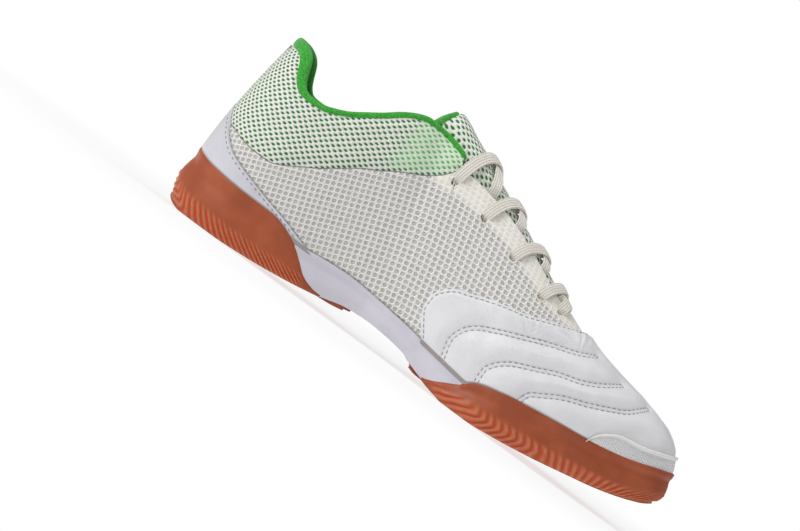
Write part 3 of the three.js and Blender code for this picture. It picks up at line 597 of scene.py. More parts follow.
def gum_rubber():
    """Orange gum rubber: cloudy colour, paler and brighter on the ribs, fine grain."""
    m = Paint("gum_rubber", Specular_IOR_Level=0.42, Subsurface_Weight=0.06, Subsurface_Radius=(0.004, 0.0015, 0.0008))
    cloud = m.step(m.noise(0.05, 3), 0.35, 0.7)
    base = m.mix(cloud, srgb(156, 73, 38), srgb(174, 87, 50))
    ridge = m.math("MULTIPLY", m.value("ridge"), m.step(m.noise(0.6, 2), 0.2, 0.75, 0.5, 1.0))
    base = m.mix(ridge, base, srgb(204, 118, 80))
    base = m.mix(m.value("groove"), base, srgb(196, 70, 20))
    grain = m.math("ADD", m.noise(2.2, 3), m.math("MULTIPLY", m.noise(0.25, 2), 0.5))
    m.set(Base_Color=base, Roughness=m.step(m.noise(0.12, 3), 0.3, 0.7, 0.46, 0.6), Normal=m.bump(grain, 0.05))
    return m.material


def foam():
    """Pale lilac foam with a satin skin."""
    m = Paint("midsole_foam", Specular_IOR_Level=0.4, Subsurface_Weight=0.05, Subsurface_Radius=(0.003, 0.003, 0.003))
    base = m.mix(m.step(m.noise(0.06, 3), 0.35, 0.7), srgb(205, 202, 213), srgb(213, 210, 219))
    m.set(Base_Color=base, Roughness=m.step(m.noise(0.3, 2), 0.3, 0.7, 0.42, 0.55),
          Normal=m.bump(m.noise(1.3, 3), 0.05))
    return m.material


def mesh_cloth(name, has_quarter):
    """Woven mesh in two scales: an open one of round hollows, and a fine one with oblong green holes. On the open one,
    painted highlights ring its hollows and are whitest on their lower sides, painted shade darkens their upper sides,
    and a painted shadow line runs along the sole's rim and above the heel counter's edge.
    """
    m = Paint(name, Specular_IOR_Level=0.3, Sheen_Weight=0.1, Sheen_Roughness=0.5)
    film = m.value("film")
    fuzz = m.noise(2.6, 2)
    drift = m.math("SUBTRACT", m.noise(0.35, 1), 0.5)
    u = m.math("MULTIPLY_ADD", drift, 0.4, m.value("across"))
    v = m.math("MULTIPLY_ADD", m.noise(0.3, 1, m.vector("ADD", m.place, (40, 9, 5))), 0.4, m.value("up"))
    hole = m.cells(u, v, 4.2, 1.69, 1.08, 0.56)
    open_ = m.step(hole, 0.7, 1.1, 1.0, 0.0)
    rise = m.cells(u, v, 4.2, 1.69, 2.1, 0.85)
    cloth = m.mix(m.step(fuzz, 0.35, 0.7), srgb(232, 231, 222), srgb(252, 252, 247))
    cloth = m.mix(m.math("MULTIPLY_ADD", film, 0.4, 0.08), cloth, srgb(182, 224, 172))
    green = m.mix(film, srgb(6, 122, 42), srgb(92, 190, 96))
    colour = m.mix(open_, cloth, green)
    height = m.math("SUBTRACT", m.step(rise, 0.4, 1.0), open_)
    if has_quarter:
        uv = m.uv()
        qu = m.math("MULTIPLY_ADD", drift, 0.25, uv.outputs[0])
        qv = m.math("MULTIPLY_ADD", m.noise(0.25, 1, m.vector("ADD", m.place, (7, 31, 2))), 0.25, uv.outputs[1])
        cell = m.cells(qu, qv, 3.15, 2.95, 1.42, 1.4, 0.0, 2.15)
        hollow = m.step(cell, 0.42, 0.9, 1.0, 0.0)
        hollow = m.math("MULTIPLY", hollow, m.step(film, 0.1, 0.85, 1.0, 0.3))
        # Painted light: a white ring round each hollow is a painted highlight, whiter on the hollow's lower side, which
        # faces the light; its upper side gets painted shade.
        below = m.math("SUBTRACT", m.math("MULTIPLY", m.spot[0], 0.59), m.math("MULTIPLY", m.spot[1], 0.81))
        painted_light_ring = m.step(m.math("ABSOLUTE", m.math("SUBTRACT", cell, 0.95)), 0.05, 0.3, 1.0, 0.0)
        lit = m.math("MULTIPLY", painted_light_ring, m.step(below, 0.1, 0.6))
        shade = m.math("MULTIPLY", painted_light_ring, m.step(below, -0.2, -0.8))
        wall = m.mix(m.step(cell, 1.25, 1.5), srgb(230, 224, 217), srgb(252, 251, 249))
        wall = m.mix(m.math("MULTIPLY", painted_light_ring, 0.5), wall, srgb(255, 255, 253))
        wall = m.mix(lit, wall, srgb(255, 255, 255))
        wall = m.mix(m.math("MULTIPLY", shade, 0.5), wall, srgb(200, 193, 184))
        wall = m.mix(m.math("MULTIPLY", film, 0.8), wall, srgb(244, 240, 231))
        pit = m.mix(m.step(m.noise(0.8, 1), 0.3, 0.7), srgb(176, 177, 174), srgb(202, 201, 198))
        coarse = m.mix(hollow, wall, pit)
        ring = m.step(m.math("ABSOLUTE", m.math("SUBTRACT", cell, 1.02)), 0.0, 0.35, 1.0, 0.0)
        coarse_height = m.math("MULTIPLY_ADD", ring, 0.55, m.math("SUBTRACT", 1.0, hollow))
        high = m.value("border")
        upper = m.step(high, -0.1, 0.1)
        colour = m.mix(upper, coarse, colour)
        line = m.math("MULTIPLY", m.step(m.math("ABSOLUTE", high), 0.15, 0.5, 1.0, 0.0), 0.7)
        colour = m.mix(line, colour, srgb(110, 104, 92))
        height = m.node("ShaderNodeMix", {0: upper, 2: coarse_height, 3: height}).outputs[0]
        # Painted shadow line along the sole's rim and just above the heel counter's edge, from the foot value.
        colour = m.mix(m.math("MULTIPLY", m.value("foot"), 0.75), colour, srgb(104, 94, 84))
        m.set(Roughness=m.step(film, 0, 1, 0.6, 0.48))
    else:
        m.set(Roughness=0.7)
    height = m.math("MULTIPLY", height, m.step(film, 0.05, 0.9, 1.0, 0.4))
    threads = m.bump(m.math("ADD", fuzz, m.noise(6.0, 2)), 0.06)
    m.set(Base_Color=colour, Normal=m.bump(height, 0.42 if has_quarter else 0.4, threads))
    return m.material


def knit(name, dark, light, size=1.6, depth=0.16):
    """Dense knit: small staggered loops over a slow change of tone."""
    m = Paint(name, Specular_IOR_Level=0.2, Roughness=0.85, Sheen_Weight=0.35, Sheen_Roughness=0.4)
    uv = m.uv()
    loop = m.cells(uv.outputs[0], uv.outputs[1], size * 0.6, size * 0.4, size * 0.3, size * 0.2)
    tone = m.step(m.math("ADD", m.noise(1.4, 3), m.math("MULTIPLY", loop, -0.12)), 0.2, 0.7)
    m.set(Base_Color=m.mix(tone, dark, light),
          Normal=m.bump(m.math("ADD", m.math("MULTIPLY", loop, -0.6), m.noise(3.0, 3)), depth))
    return m.material


def leather():
    """White coated leather: fine pebble grain, soft gloss, painted shade greying the channels' dips and the dip along
    the edge, and a painted shadow line above the sole's rim.
    """
    m = Paint("white_leather", Specular_IOR_Level=0.45, Coat_Weight=0.12, Coat_Roughness=0.35)
    tone = m.mix(m.step(m.noise(0.05, 3), 0.3, 0.7), srgb(226, 226, 229), srgb(234, 234, 237))
    # Painted shade: grey in the channels' dips and along the dip by the vamp's edge, from the dark value.
    colour = m.mix(m.math("MULTIPLY", m.value("dark"), 0.3), tone, srgb(184, 185, 190))
    pebble = m.node("ShaderNodeTexVoronoi", {"Vector": m.place, "Scale": 1.15}, feature="DISTANCE_TO_EDGE").outputs[0]
    grain = m.math("ADD", m.step(pebble, 0.0, 0.25), m.math("MULTIPLY", m.noise(0.5, 4), 1.4))
    # Painted shadow line just above the sole's rim, from the foot value.
    colour = m.mix(m.math("MULTIPLY", m.value("foot"), 0.7), colour, srgb(104, 78, 68))
    m.set(Base_Color=colour, Roughness=m.step(m.noise(0.2, 3), 0.3, 0.7, 0.36, 0.48), Normal=m.bump(grain, 0.06))
    return m.material


def smooth_film(name, light, dark, rough):
    """Smooth plastic film with a faint unevenness, and a painted shadow line just above the sole's rim where its piece
    has one.
    """
    m = Paint(name, Specular_IOR_Level=0.45)
    tone = m.mix(m.step(m.noise(0.05, 3), 0.3, 0.7), dark, light)
    # The foot value paints a shadow line just above the sole's rim.
    m.set(Base_Color=m.mix(m.math("MULTIPLY", m.value("foot"), 0.6), tone, srgb(110, 84, 76)),
          Roughness=m.step(m.noise(0.25, 2), 0.3, 0.7, rough, rough + 0.1), Normal=m.bump(m.noise(0.6, 3), 0.05))
    return m.material


def ribbed_rubber():
    """White rubber with fine crossed diagonal lines."""
    m = Paint("white_rubber", Specular_IOR_Level=0.4)
    uv = m.uv()
    lines = []
    for way in (1.0, -1.0):
        slant = m.math("MULTIPLY_ADD", uv.outputs[1], way * 1.15, uv.outputs[0])
        lines.append(m.math("ABSOLUTE", m.math("SINE", m.math("MULTIPLY", slant, math.pi / 1.5))))
    weave = m.math("MULTIPLY", lines[0], lines[1])
    flat = m.value("flat")
    height = m.math("MULTIPLY", m.step(weave, 0.0, 0.5), m.math("SUBTRACT", 1.0, flat))
    base = m.mix(m.math("MULTIPLY", m.step(weave, 0.0, 0.35, 1.0, 0.0), 0.35), srgb(243, 243, 245), srgb(205, 206, 210))
    m.set(Base_Color=m.mix(flat, base, srgb(238, 237, 234)), Roughness=0.5, Normal=m.bump(height, 0.3))
    return m.material


def lace_weave():
    """Flat braided lace: ribs along its length, crossed by a fine slanted weave, with painted shade darkening the
    grooves.
    """
    m = Paint("lace_fabric", Specular_IOR_Level=0.25, Roughness=0.8, Sheen_Weight=0.2, Sheen_Roughness=0.5)
    uv = m.uv()
    across = m.math("ABSOLUTE", uv.outputs[1])
    rib = m.math("ABSOLUTE", m.math("SINE", m.math("MULTIPLY", uv.outputs[1], math.pi / 1.35)))
    slant = m.math("MULTIPLY_ADD", across, 0.9, uv.outputs[0])
    cross = m.math("ABSOLUTE", m.math("SINE", m.math("MULTIPLY", slant, math.pi / 0.8)))
    height = m.math("MULTIPLY_ADD", rib, 0.8, m.math("MULTIPLY", cross, 0.35))
    # Painted shade: darker where the weave is low, in its grooves.
    colour = m.mix(m.step(height, 0.1, 0.7), srgb(205, 199, 186), srgb(240, 236, 226))
    m.set(Base_Color=colour, Normal=m.bump(m.math("ADD", height, m.math("MULTIPLY", m.noise(4, 2), 0.3)), 0.3))
    return m.material


def thread(name, colour):
    """Sewing thread."""
    m = Paint(name, Roughness=0.6, Specular_IOR_Level=0.35)
    m.set(Base_Color=m.mix(m.noise(1.5, 2), colour, srgb(176, 176, 180)), Normal=m.bump(m.noise(6, 2), 0.05))
    return m.material


gum, foam_skin, hide = gum_rubber(), foam(), leather()
upper_cloth, tongue_cloth = mesh_cloth("upper_mesh", True), mesh_cloth("tongue_mesh", False)
green_knit = knit("binding_fabric", srgb(44, 142, 42), srgb(84, 194, 76))
lining_knit = knit("lining_fabric", srgb(20, 92, 30), srgb(34, 128, 42), size=2.2)
sock_knit = knit("insole_fabric", srgb(46, 146, 54), srgb(66, 172, 70), size=2.4)
counter_film = smooth_film("smooth_film", srgb(214, 214, 220), srgb(204, 204, 211), 0.32)
rim_film = smooth_film("rim_film", srgb(236, 231, 220), srgb(222, 216, 204), 0.45)
seam_tape = smooth_film("seam_tape", srgb(168, 168, 170), srgb(150, 150, 154), 0.5)
toe_rubber, lace_cloth = ribbed_rubber(), lace_weave()
# The white thread's grey colour is painted shade, standing for the shadow round each sunk stitch.
white_thread = thread("white_thread", srgb(138, 138, 144))
dark_thread = thread("dark_thread", srgb(64, 64, 72))


# Sole

HEEL_LEAN = np.array([[0, 0.33], [13, 0.4], [20, 0.62], [30, 0.9], [45, 1.35], [60, 1.7], [80, 2.0], [110, 2.2]])
FORE_LEAN = np.array([[150, 0.73], [225, 0.7], [245, 0.45], [258, -0.1], [270, -0.8], [284, -2.2]])
HEEL_COUNT = np.array([[-40, -20], [0, -3.2], [6.3, 0], [8.6, 1.4], [10.7, 2.3], [13.2, 3.2], [20, 5.2], [40, 11.2],
                       [110, 32]])
FORE_COUNT = np.array([[150, -4.5], [172, -0.4], [176, 0.2], [193.6, 2.9], [202.4, 4.9], [211.9, 7.1], [230, 11.4],
                       [430, 59]])
FORE_CORNER = np.array([[150, 10], [181, 8.2], [188.5, 7.2], [193.6, 6.3], [198, 5.6], [203, 5.1], [212, 4.8],
                        [235, 4], [260, 3], [292, 3]])
FIN_TOP = np.array([[0, 12], [12, 10.6], [22, 10], [40, 9.2], [60, 8.4], [90, 6], [150, 4], [168, 5.5], [176, 7.4],
                    [182, 9], [195, 9.6], [205, 9.8], [235, 8.6], [265, 7.2], [290, 6]])
fin_top = through(FIN_TOP)


def fins(place, x, z, height):
    """Ribs low on the side, from 0 to 1, as waves counted along the outline. Above a corner line they lean back
    with height; below it they run level round the heel, and rise towards the toe under the ball."""
    run = np.abs(np.where(place > LOOP / 2, LOOP - place, place))
    back = np.interp(x + np.interp(x, *HEEL_LEAN.T) * (z - 8.4), *HEEL_COUNT.T)
    level = (8.4 - z - 0.158 * (x - 6.3)) / 2.6
    heel = np.logaddexp(2.2 * back, 2.2 * level) / 2.2
    above = height - np.interp(x, *FORE_CORNER.T)
    over, under = np.logaddexp(0, 1.4 * above) / 1.4, np.logaddexp(0, -1.4 * above) / 1.4
    hook = smooth(242, 216, x)
    along = np.where(x > 230, 230 + run - place_of(230), x)
    lean = np.interp(x, *FORE_LEAN.T)
    fore = np.interp(along + lean * (over - under * (1 - hook)), *FORE_COUNT.T) + 0.32 * under * hook
    wave = np.where(x > 130, fore, heel)
    ridge = 1 - (0.5 - 0.5 * np.cos(2 * np.pi * wave)) ** 1.7
    t = height / np.maximum(fin_top(x), 1)
    fade = smooth(1.08, 0.7, t) * smooth(-0.5, 0.8, height)
    return ridge * fade, fade


def sole_side(place, low, high, rows, extra, lip, ribs=True):
    """A strip of the sole's side between two heights, over a hollow side profile, with a rolled lip."""
    f = np.linspace(0, 1, rows) ** (1.35 if ribs else 0.85)
    x0 = out_x(place)
    z = low(x0)[:, None] + f[None, :] * (high(x0) - low(x0))[:, None]
    up = (z - ground(x0)[:, None]) / (rim(x0) - ground(x0))[:, None]
    height = z - ground(x0)[:, None]
    rib, fade = fins(place[:, None] + 0 * z, x0[:, None] + 0 * z, z, height)
    thick = smooth(4, 9, (high(x0) - low(x0)))[:, None] * smooth(0.2, 3, high(x0)[:, None] - z)
    rib, fade = (rib * thick, fade * thick) if ribs else (rib * 0, fade * 0)
    inset = side_inset(np.clip(up, 0, 1)) * HOLLOW + extra - (0.6 + 0.3 * smooth(2, 12, x0[:, None])) * rib + 0.3 * fade
    inset = inset + 0.9 * bell(np.clip(high(x0)[:, None] - z, 0, 9), 1.3)
    inset = inset + 1.0 * bell(height, 0.7) * (0.6 if ribs else 0)
    parts = [(inset, z, rib, fade - rib)]
    last, top = inset[:, -1:], z[:, -1:]
    nothing = np.zeros_like(top)
    for run, fall in ((0.12, 0), (0.5, 0.22), (1.1, 0.3), (1.8, 0.25), (2.6, -0.1), (2.75, -2.0)):
        parts.append((last + lip(x0)[:, None] * run / 2.6, top + fall, nothing, nothing))
    foot = ground(outline(place, 2.7)[0])[:, None]
    under = [(inset[:, :1] + 0.5, z[:, :1], nothing, nothing), (np.full_like(top, 2.7), foot, nothing, nothing)]
    if ribs:
        parts = under[::-1] + parts
    inset, z, rib, dark = (np.concatenate([p[k] for p in parts], 1) for k in range(4))
    x, y, _, _ = outline(place[:, None] + 0 * inset, inset)
    return Sheet(np.stack([x, y, z], -1), ridge=np.clip(rib, 0, 1), groove=np.clip(dark, 0, 1) * 0.8)


def tread(places, across):
    """The walked-on face between the outlines of both sides: chevron grooves, every third one deep, and a
    round pivot under the ball."""
    ax, ay, _, _ = outline(places, 2.7)
    bx, by, _, _ = outline(LOOP - places, 2.7)
    w = np.linspace(0, 1, across)[None, :]
    x, y = bx[:, None] + (ax - bx)[:, None] * w, by[:, None] + (ay - by)[:, None] * w
    half = np.minimum(ay, -by)[:, None] - 4.0
    tip = 4.0 * (1 - np.abs(y) / np.maximum(half, 5))
    step = 13 / 3
    phase = np.mod(x - 1.2 - tip + step / 2, step) - step / 2
    number = np.round((x - 1.2 - tip) / step)
    deep = np.mod(number, 3) == 0
    wide_cut, fine_cut = smooth(1.35, 0.85, np.abs(phase)), smooth(0.8, 0.4, np.abs(phase))
    cut = np.where(deep, 1.5 * wide_cut, 0.7 * fine_cut)
    inner = smooth(0, 1.2, half - np.abs(y))
    from_pivot = np.hypot(x - 200.0, y)
    ball = smooth(16.5, 15.2, from_pivot)
    ring = smooth(1.3, 0.9, np.abs(from_pivot - 13.8)) * 1.5 + smooth(0.8, 0.4, np.abs(from_pivot - 7)) * 0.8
    cut = (cut * (1 - ball) + ring * ball) * inner
    z = ground(x) + cut
    ridge = smooth(1.2, 0.2, cut) * 0.25
    return Sheet(np.stack([x, y, z], -1), flip=True, ridge=ridge, groove=np.clip(cut / 1.5, 0, 1) * 0.5)


heel_end, fore_start = place_of(108.6), place_of(150.5)
heel_sides = both_sides(np.linspace(0, heel_end, 330))
fore_sides = round_toe(fore_start, 850)
heel_top = lambda x: np.where(x < 54.2, rim(x), np.minimum(rim(x), heel_gum(x)))
fore_top = lambda x: np.where(x > 181, rim(x), np.minimum(rim(x), fore_gum(x)))
rim_lip = lambda x: np.where((x < 55) | (x > 180), 2.45, 1.3)
bridge_places = np.linspace(place_of(96), place_of(160), 60)


def bridge():
    """The flat gum strip under the arch, a little proud of the foam."""
    x = out_x(bridge_places)
    w = np.array([-15, -15, -14.4, -7, 0, 7, 14.4, 15, 15])
    rise = np.array([1.2, 0.4, 0, 0, 0, 0, 0, 0.4, 1.2])
    points = np.stack(np.broadcast_arrays(x[:, None], w[None, :], ground(x)[:, None] + rise[None, :]), -1)
    return Sheet(points, flip=True)


make("outsole_rubber", [
    sole_side(heel_sides, ground, heel_top, 46, 0.0, rim_lip),
    sole_side(fore_sides, ground, fore_top, 42, 0.0, rim_lip),
], gum, ["outsole"])
make("outsole_tread", [
    tread(np.linspace(0, heel_end, 190), 96),
    tread(np.linspace(fore_start, LOOP / 2, 250), 110),
    bridge(),
], gum, ["outsole"])


def waist_bottom():
    """The foam's underside between the gum parts."""
    places = np.linspace(place_of(80), place_of(172), 90)
    ax, ay, _, _ = outline(places, 2.8)
    bx, by, _, _ = outline(LOOP - places, 2.8)
    w = np.linspace(0, 1, 24)[None, :]
    x, y = bx[:, None] + (ax - bx)[:, None] * w, by[:, None] + (ay - by)[:, None] * w
    return Sheet(np.stack([x, y, ground(x) + 0.45], -1), flip=True)


def foam_low(x):
    """The foam's lower edge: the ground line, or just behind the gum's edge."""
    low = np.where(x < 108.6, heel_gum(x) - 1.6, np.where(x > 150.5, fore_gum(x) - 1.6, 0))
    return np.minimum(np.maximum(ground(x) + 0.2, low), rim(x) - 0.4)


waist = np.linspace(place_of(52), place_of(184), 260)
make("midsole_side", [
    sole_side(waist, foam_low, rim, 22, 0.75, lambda x: 2.0 + 0 * x, ribs=False),
    sole_side(LOOP - waist[::-1], foam_low, rim, 22, 0.75, lambda x: 2.0 + 0 * x, ribs=False),
    waist_bottom(),
], foam_skin, ["midsole"])


def footbed():
    """The insole's top face, turned up a little along its edge."""
    places = np.linspace(0.5, LOOP / 2 - 0.5, 150)
    inset = FEATHER - LINING + 0.8
    ax, ay, _, _ = outline(places, inset)
    bx, by, _, _ = outline(LOOP - places, inset)
    w = np.linspace(0, 1, 50)[None, :]
    x, y = bx[:, None] + (ax - bx)[:, None] * w, by[:, None] + (ay - by)[:, None] * w
    rise = 3.0 + 1.6 * np.abs(2 * w - 1) ** 6
    return Sheet(np.stack([x, y, bed(x) + rise], -1), uv=np.stack([x, y], -1))


make("footbed", footbed(), sock_knit, ["insole"])


# Upper

def grown(place):
    """Columns' arc lengths from the feather edge, by small steps of the share."""
    s = np.linspace(0, 1, 120)
    points = bare_surface(place[:, None], s[None, :])
    run = np.concatenate([np.zeros((len(place), 1)), np.cumsum(np.linalg.norm(np.diff(points, axis=1), axis=2), 1)], 1)
    return s, run


def cloth_map(place, share):
    """A map in millimetres: along the shoe, round the heel by its outline, and up along the surface."""
    s, run = grown(place)
    v = np.stack([np.interp(share[i], s, run[i]) for i in range(len(place))])
    x = bare_surface(place[:, None], share)[..., 0]
    bend = place_of(60)
    near = np.where(place > LOOP / 2, LOOP - place, np.abs(place))[:, None]
    lean = np.clip(x - out_x(place)[:, None], -20, 20) * near / bend
    return np.stack([np.where(near > bend, x, 60 - (bend - near) + lean), v], -1)


TURN_OF_ROWS = through([[0, 22], [80, 22], [130, 14], [190, 3], [292, 3]])
ROW_RISE = np.concatenate([[0], np.cumsum(np.tan(np.radians(TURN_OF_ROWS(np.arange(-60, 300)))))])


def slanted_map(uv):
    """The map of the open mesh, whose rows climb towards the toe, less and less along the shoe."""
    u, v = uv[..., 0], uv[..., 1]
    slope = np.tan(np.radians(TURN_OF_ROWS(u)))
    return np.stack([u + v * (0.5 * slope + 0.115), v - np.interp(u, np.arange(-60.5, 300), ROW_RISE)], -1)


def painted_shadow_line(points):
    """1 in the painted shadow line just above the sole's rim, 0 from 1.2 mm above it."""
    return smooth(1.2, 0.5, points[..., 2] - rim(points[..., 0]))


def grid_of(lo, hi, rows):
    """Shares from the lowest to the highest in each column."""
    t = np.linspace(0, 1, rows)
    return lo[:, None] + t[None, :] * (hi - lo)[:, None]


COLLAR_END, THROAT_START, THROAT_END = 114.0, 113.6, 202.0


def throat_gap(points):
    """How far a spot lies outside the throat's edge, in millimetres; large behind and ahead of it."""
    x, y = points[..., 0], points[..., 1]
    gap = np.abs(y - ridge_at(x)) - throat_half(x)
    ahead_gap = np.hypot(np.maximum(x - THROAT_END, 0), y - ridge_at(x))
    return np.where(x < THROAT_START, 50, np.where(x > THROAT_END, ahead_gap, gap))


def binding_foot(x):
    """The height of the collar binding's lower edge."""
    return collar(np.minimum(x, COLLAR_END)) - binding_depth(x)


def shell_top(points):
    """Positive below the collar's binding and outside the throat."""
    x, z = points[..., 0], points[..., 2]
    under_collar = np.where(x < COLLAR_END + 1, binding_foot(x) + 0.6 - z, 50)
    return np.where(z > 40, np.minimum(under_collar, throat_gap(points)), 50)


eyelet_spots = {side: find(side, EYELETS[:, 0], EYELETS[:, 1]) for side in (1, -1)}


def eyelet_centres(offset):
    """The ten eyelets' middles at an offset from the last."""
    return np.concatenate([surface(*eyelet_spots[side], offset) for side in (1, -1)])


def without_holes(sheet, centres, radius):
    """The sheet less its faces near the given centres."""
    middle = sheet.points[sheet.faces].mean(1)
    keep = np.ones(len(middle), bool)
    for c in centres:
        keep &= np.linalg.norm(middle - c, axis=1) > radius
    sheet.faces = sheet.faces[keep]
    return sheet


shell_places = both_sides(stops((0, 0.9), (10, 1.3), (30, 1.5), (100, 1.25), (place_of(188), 0.9),
                                (place_of(206), 1.2), (place_of(226), 1)))
shell_lo, shell_hi = band(shell_places, lambda q: np.minimum(shell_top(q), q[..., 2] - rim(q[..., 0]) + 2), 0, 1)
shell_share = grid_of(shell_lo, shell_hi, 110)
shell_base = bare_surface(shell_places[:, None], shell_share)
base_x, base_z = shell_base[..., 0], shell_base[..., 2]
above_border = np.where(base_x > 120, -20, base_z - border(base_x))
throat_line_x = np.concatenate([np.linspace(112, 190, 60), np.linspace(191, 201.8, 16)])
throat_paths = {side: on_top(throat_line_x, side * (throat_half(throat_line_x) + 0.25)) for side in (1, -1)}
throat_away = np.minimum(*[distance(shell_base, bare_surface(*throat_paths[side]))[0] for side in (1, -1)])
film = smooth(16, 9, throat_away) * smooth(0.5, -1.0, above_border)
film = np.maximum(film, smooth(80, 90, base_x) * smooth(121, 112, base_x) * smooth(0, 4, above_border) * 0.9)
collar_top = binding_foot(base_x) - base_z
collar_pad = 1.3 * smooth(0.2, 8, above_border) * smooth(-1, 6, collar_top) - 0.55 * bell(above_border + 0.1, 0.8)
collar_pad = collar_pad + 0.35 * bell(above_border + 2.6, 1.6)
film_rise = 0.25 * smooth(0.3, 0.6, film) * np.where(above_border > 0, 0, 1)
wander = 0.18 * ripple(base_x + 0.3 * base_z, 3, 5, 60, 22) * ripple(base_z - 0.2 * base_x, 4, 4, 45, 18)
shell_offset = UPPER + collar_pad + film_rise + wander * smooth(0, 14, np.minimum(throat_away, 40))
shell_points = surface(shell_places[:, None], shell_share, shell_offset)
shell_map = cloth_map(shell_places, shell_share)
over_counter = base_z - counter(base_x)
# Painted shadow line on the mesh just above the sole's rim and just above the heel counter's edge, kept as its foot
# value.
shell_painted_shadow = np.maximum(painted_shadow_line(shell_base), 0.8 * smooth(1.0, 0.3, over_counter) * smooth(92, 84, base_x))
shell = Sheet(shell_points, slanted_map(shell_map), across=shell_map[..., 0], up=base_z,
              border=above_border, foot=shell_painted_shadow, film=np.clip(film, 0, 1))
make("upper_mesh", without_holes(shell, eyelet_centres(UPPER), 2.0), upper_cloth, ["upper"])


lining_places = np.linspace(0, LOOP, 620)
_, lining_hi = band(lining_places, lambda q: shell_top(q) - 0.2, 0, 1)
lining_share = grid_of(0 * lining_hi, lining_hi, 70)
lining_base = bare_surface(lining_places[:, None], lining_share)
lx, lz = lining_base[..., 0], lining_base[..., 2]
heel_pad = 2.6 * bell(lz - 78, 17) * smooth(75, 35, lx)
heel_pad = heel_pad + 1.2 * smooth(110, 60, lx) * bell(lz - (collar(np.minimum(lx, 114)) - 14), 10)
lining_points = surface(lining_places[:, None], lining_share, LINING - heel_pad)
lining = Sheet(lining_points, cloth_map(lining_places, lining_share), flip=True)
make("lining", without_holes(lining, eyelet_centres(LINING), 1.9), lining_knit, ["upper"])

# Throat edge: the film folded over the wall's cut edge
for side, name in ((1, "outer"), (-1, "inner")):
    p, s = (values[2:] for values in throat_paths[side])
    path = surface(p, s, (UPPER + LINING) / 2 + 0.1)
    up = normals(p, s)
    edge = rope(path, up, 0.85, 1.12, sides=8, power=2.6)
    make("throat_edge_" + name, edge, counter_film, ["upper"])


def eyelet(side, k):
    """An eyelet's rolled oval rim and its dark wall."""
    p, s = eyelet_spots[side][0][k:k + 1], eyelet_spots[side][1][k:k + 1]
    centre, up = surface(p, s, UPPER)[0], normals(p, s)[0]
    along = unit(np.array([0.75, 0, -0.66]) - up * np.dot(up, [0.75, 0, -0.66]))
    across = np.cross(up, along)
    a = np.linspace(0, 2 * np.pi, 29)[:-1]
    ring = centre + 2.45 * np.cos(a)[:, None] * along + 1.75 * np.sin(a)[:, None] * across
    rows = []
    spread = np.cos(a)[:, None] * along + np.sin(a)[:, None] * across
    for out, high in ((1, -0.1), (0.9, 0.14), (0.6, 0.26), (0.25, 0.2), (0, -0.05), (-0.02, -1), (-0.02, -2.6)):
        rows.append(ring + spread * out + up * high)
    dark = np.array([0, 0, 0, 0, 0.5, 1, 1.0])
    return Sheet(np.stack(rows, 0)[::-1], wrap=True, dark=dark[::-1, None] + 0 * a)


make("eyelet_rims", [eyelet(side, k) for side in (1, -1) for k in range(5)], rim_film, ["upper"])


# Collar binding and heel seam

def roll():
    """The felt roll along the collar: a rounded section swept round the heel, thickest there."""
    places = both_sides(stops((0, 0.8), (26, 0.9), (place_of(116, 0.9), 1)))
    at, _ = band(places, lambda q: q[..., 2] - collar(np.minimum(q[..., 0], 114.2)) + binding_depth(q[..., 0]) / 2,
                 0.3, 1)
    x = bare_surface(places, at)[:, 0]
    keep = x < 114.2
    places, at, x = places[keep], at[keep], x[keep]
    path = soften(surface(places, at, (UPPER + LINING) / 2 - 0.5 * smooth(60, 20, x)), 6)
    out = normals(places, at)
    ahead = unit(np.gradient(path, axis=0))
    up = unit(np.cross(out, ahead))
    up = up * np.sign(up[:, 2:3])
    depth = binding_depth(x)
    lumps = 1 + 0.03 * ripple(places, 5, 5, 30, 9)
    half_w = (1.75 + 0.75 * smooth(70, 24, x)) * lumps
    half_h = (depth / 2 + 0.35) * lumps
    ends = np.clip(np.minimum(np.arange(len(x)), np.arange(len(x))[::-1]) / 4.0, 0, 1)
    ends = np.sqrt(1 - (1 - ends) ** 2) * 0.97 + 0.03
    return rope(path, up, half_w * ends, half_h * ends, sides=20, power=2.5)


collar_roll = make("collar_binding", roll(), green_knit, ["collar_binding"])


def heel_seam():
    """A thin grey tape up the middle of the heel."""
    share = np.linspace(0.25, 1, 90)
    place = np.zeros_like(share)
    z = bare_surface(place, share)[:, 2]
    keep = (z > 40) & (z < collar(9.0) - 5.5)
    path = surface(place[keep], share[keep], UPPER + 0.75)
    return rope(path, normals(place[keep], share[keep]), 1.1, 0.5, sides=8, power=2.4)


make("heel_seam", heel_seam(), seam_tape, ["upper"])


# Tongue

def tongue():
    """A padded plate under the throat, rising into it, with rounded edges."""
    t = np.concatenate([np.linspace(0, 0.06, 9)[:-1], np.linspace(0.06, 0.94, 110), np.linspace(0.94, 1, 9)[1:]])
    a = np.linspace(0, 2 * np.pi, 100, endpoint=False)
    c, q = np.cos(a), np.sin(a)
    w = np.sign(c) * np.abs(c) ** 0.75
    rise = np.sign(q) * np.abs(q) ** 0.45
    rear = 97.6 - 5.2 * np.abs(w) ** 1.6
    x = rear[None, :] + t[:, None] * (208.0 - rear[None, :])
    side = w[None, :] * tongue_half(x)
    p, share = on_top(x, side)
    inside = smooth(1.0, 5.5, throat_half(np.maximum(x, 113.6)) - np.abs(side)) * smooth(88, 100, x)
    top = LINING - GAP - 0.3 + 1.9 * inside + 0.7 * inside * (1 - w[None, :] ** 2)
    top = top + 0.18 * ripple(x, 8, 4, 30, 14) * inside
    bottom = LINING - GAP - 4.0
    pinch = np.clip(np.minimum(t, 1 - t)[:, None] / 0.022, 0, 1)
    pinch = np.sqrt(np.clip(1 - (1 - pinch) ** 2, 0, 1))
    middle, half = (top + bottom) / 2, (top - bottom) / 2 * pinch
    points = surface(p, share, middle + half * rise[None, :])
    return Sheet(points, np.stack([x, side], -1), wrap=True, film=0 * x, across=x * 1.02, up=side * 1.25)


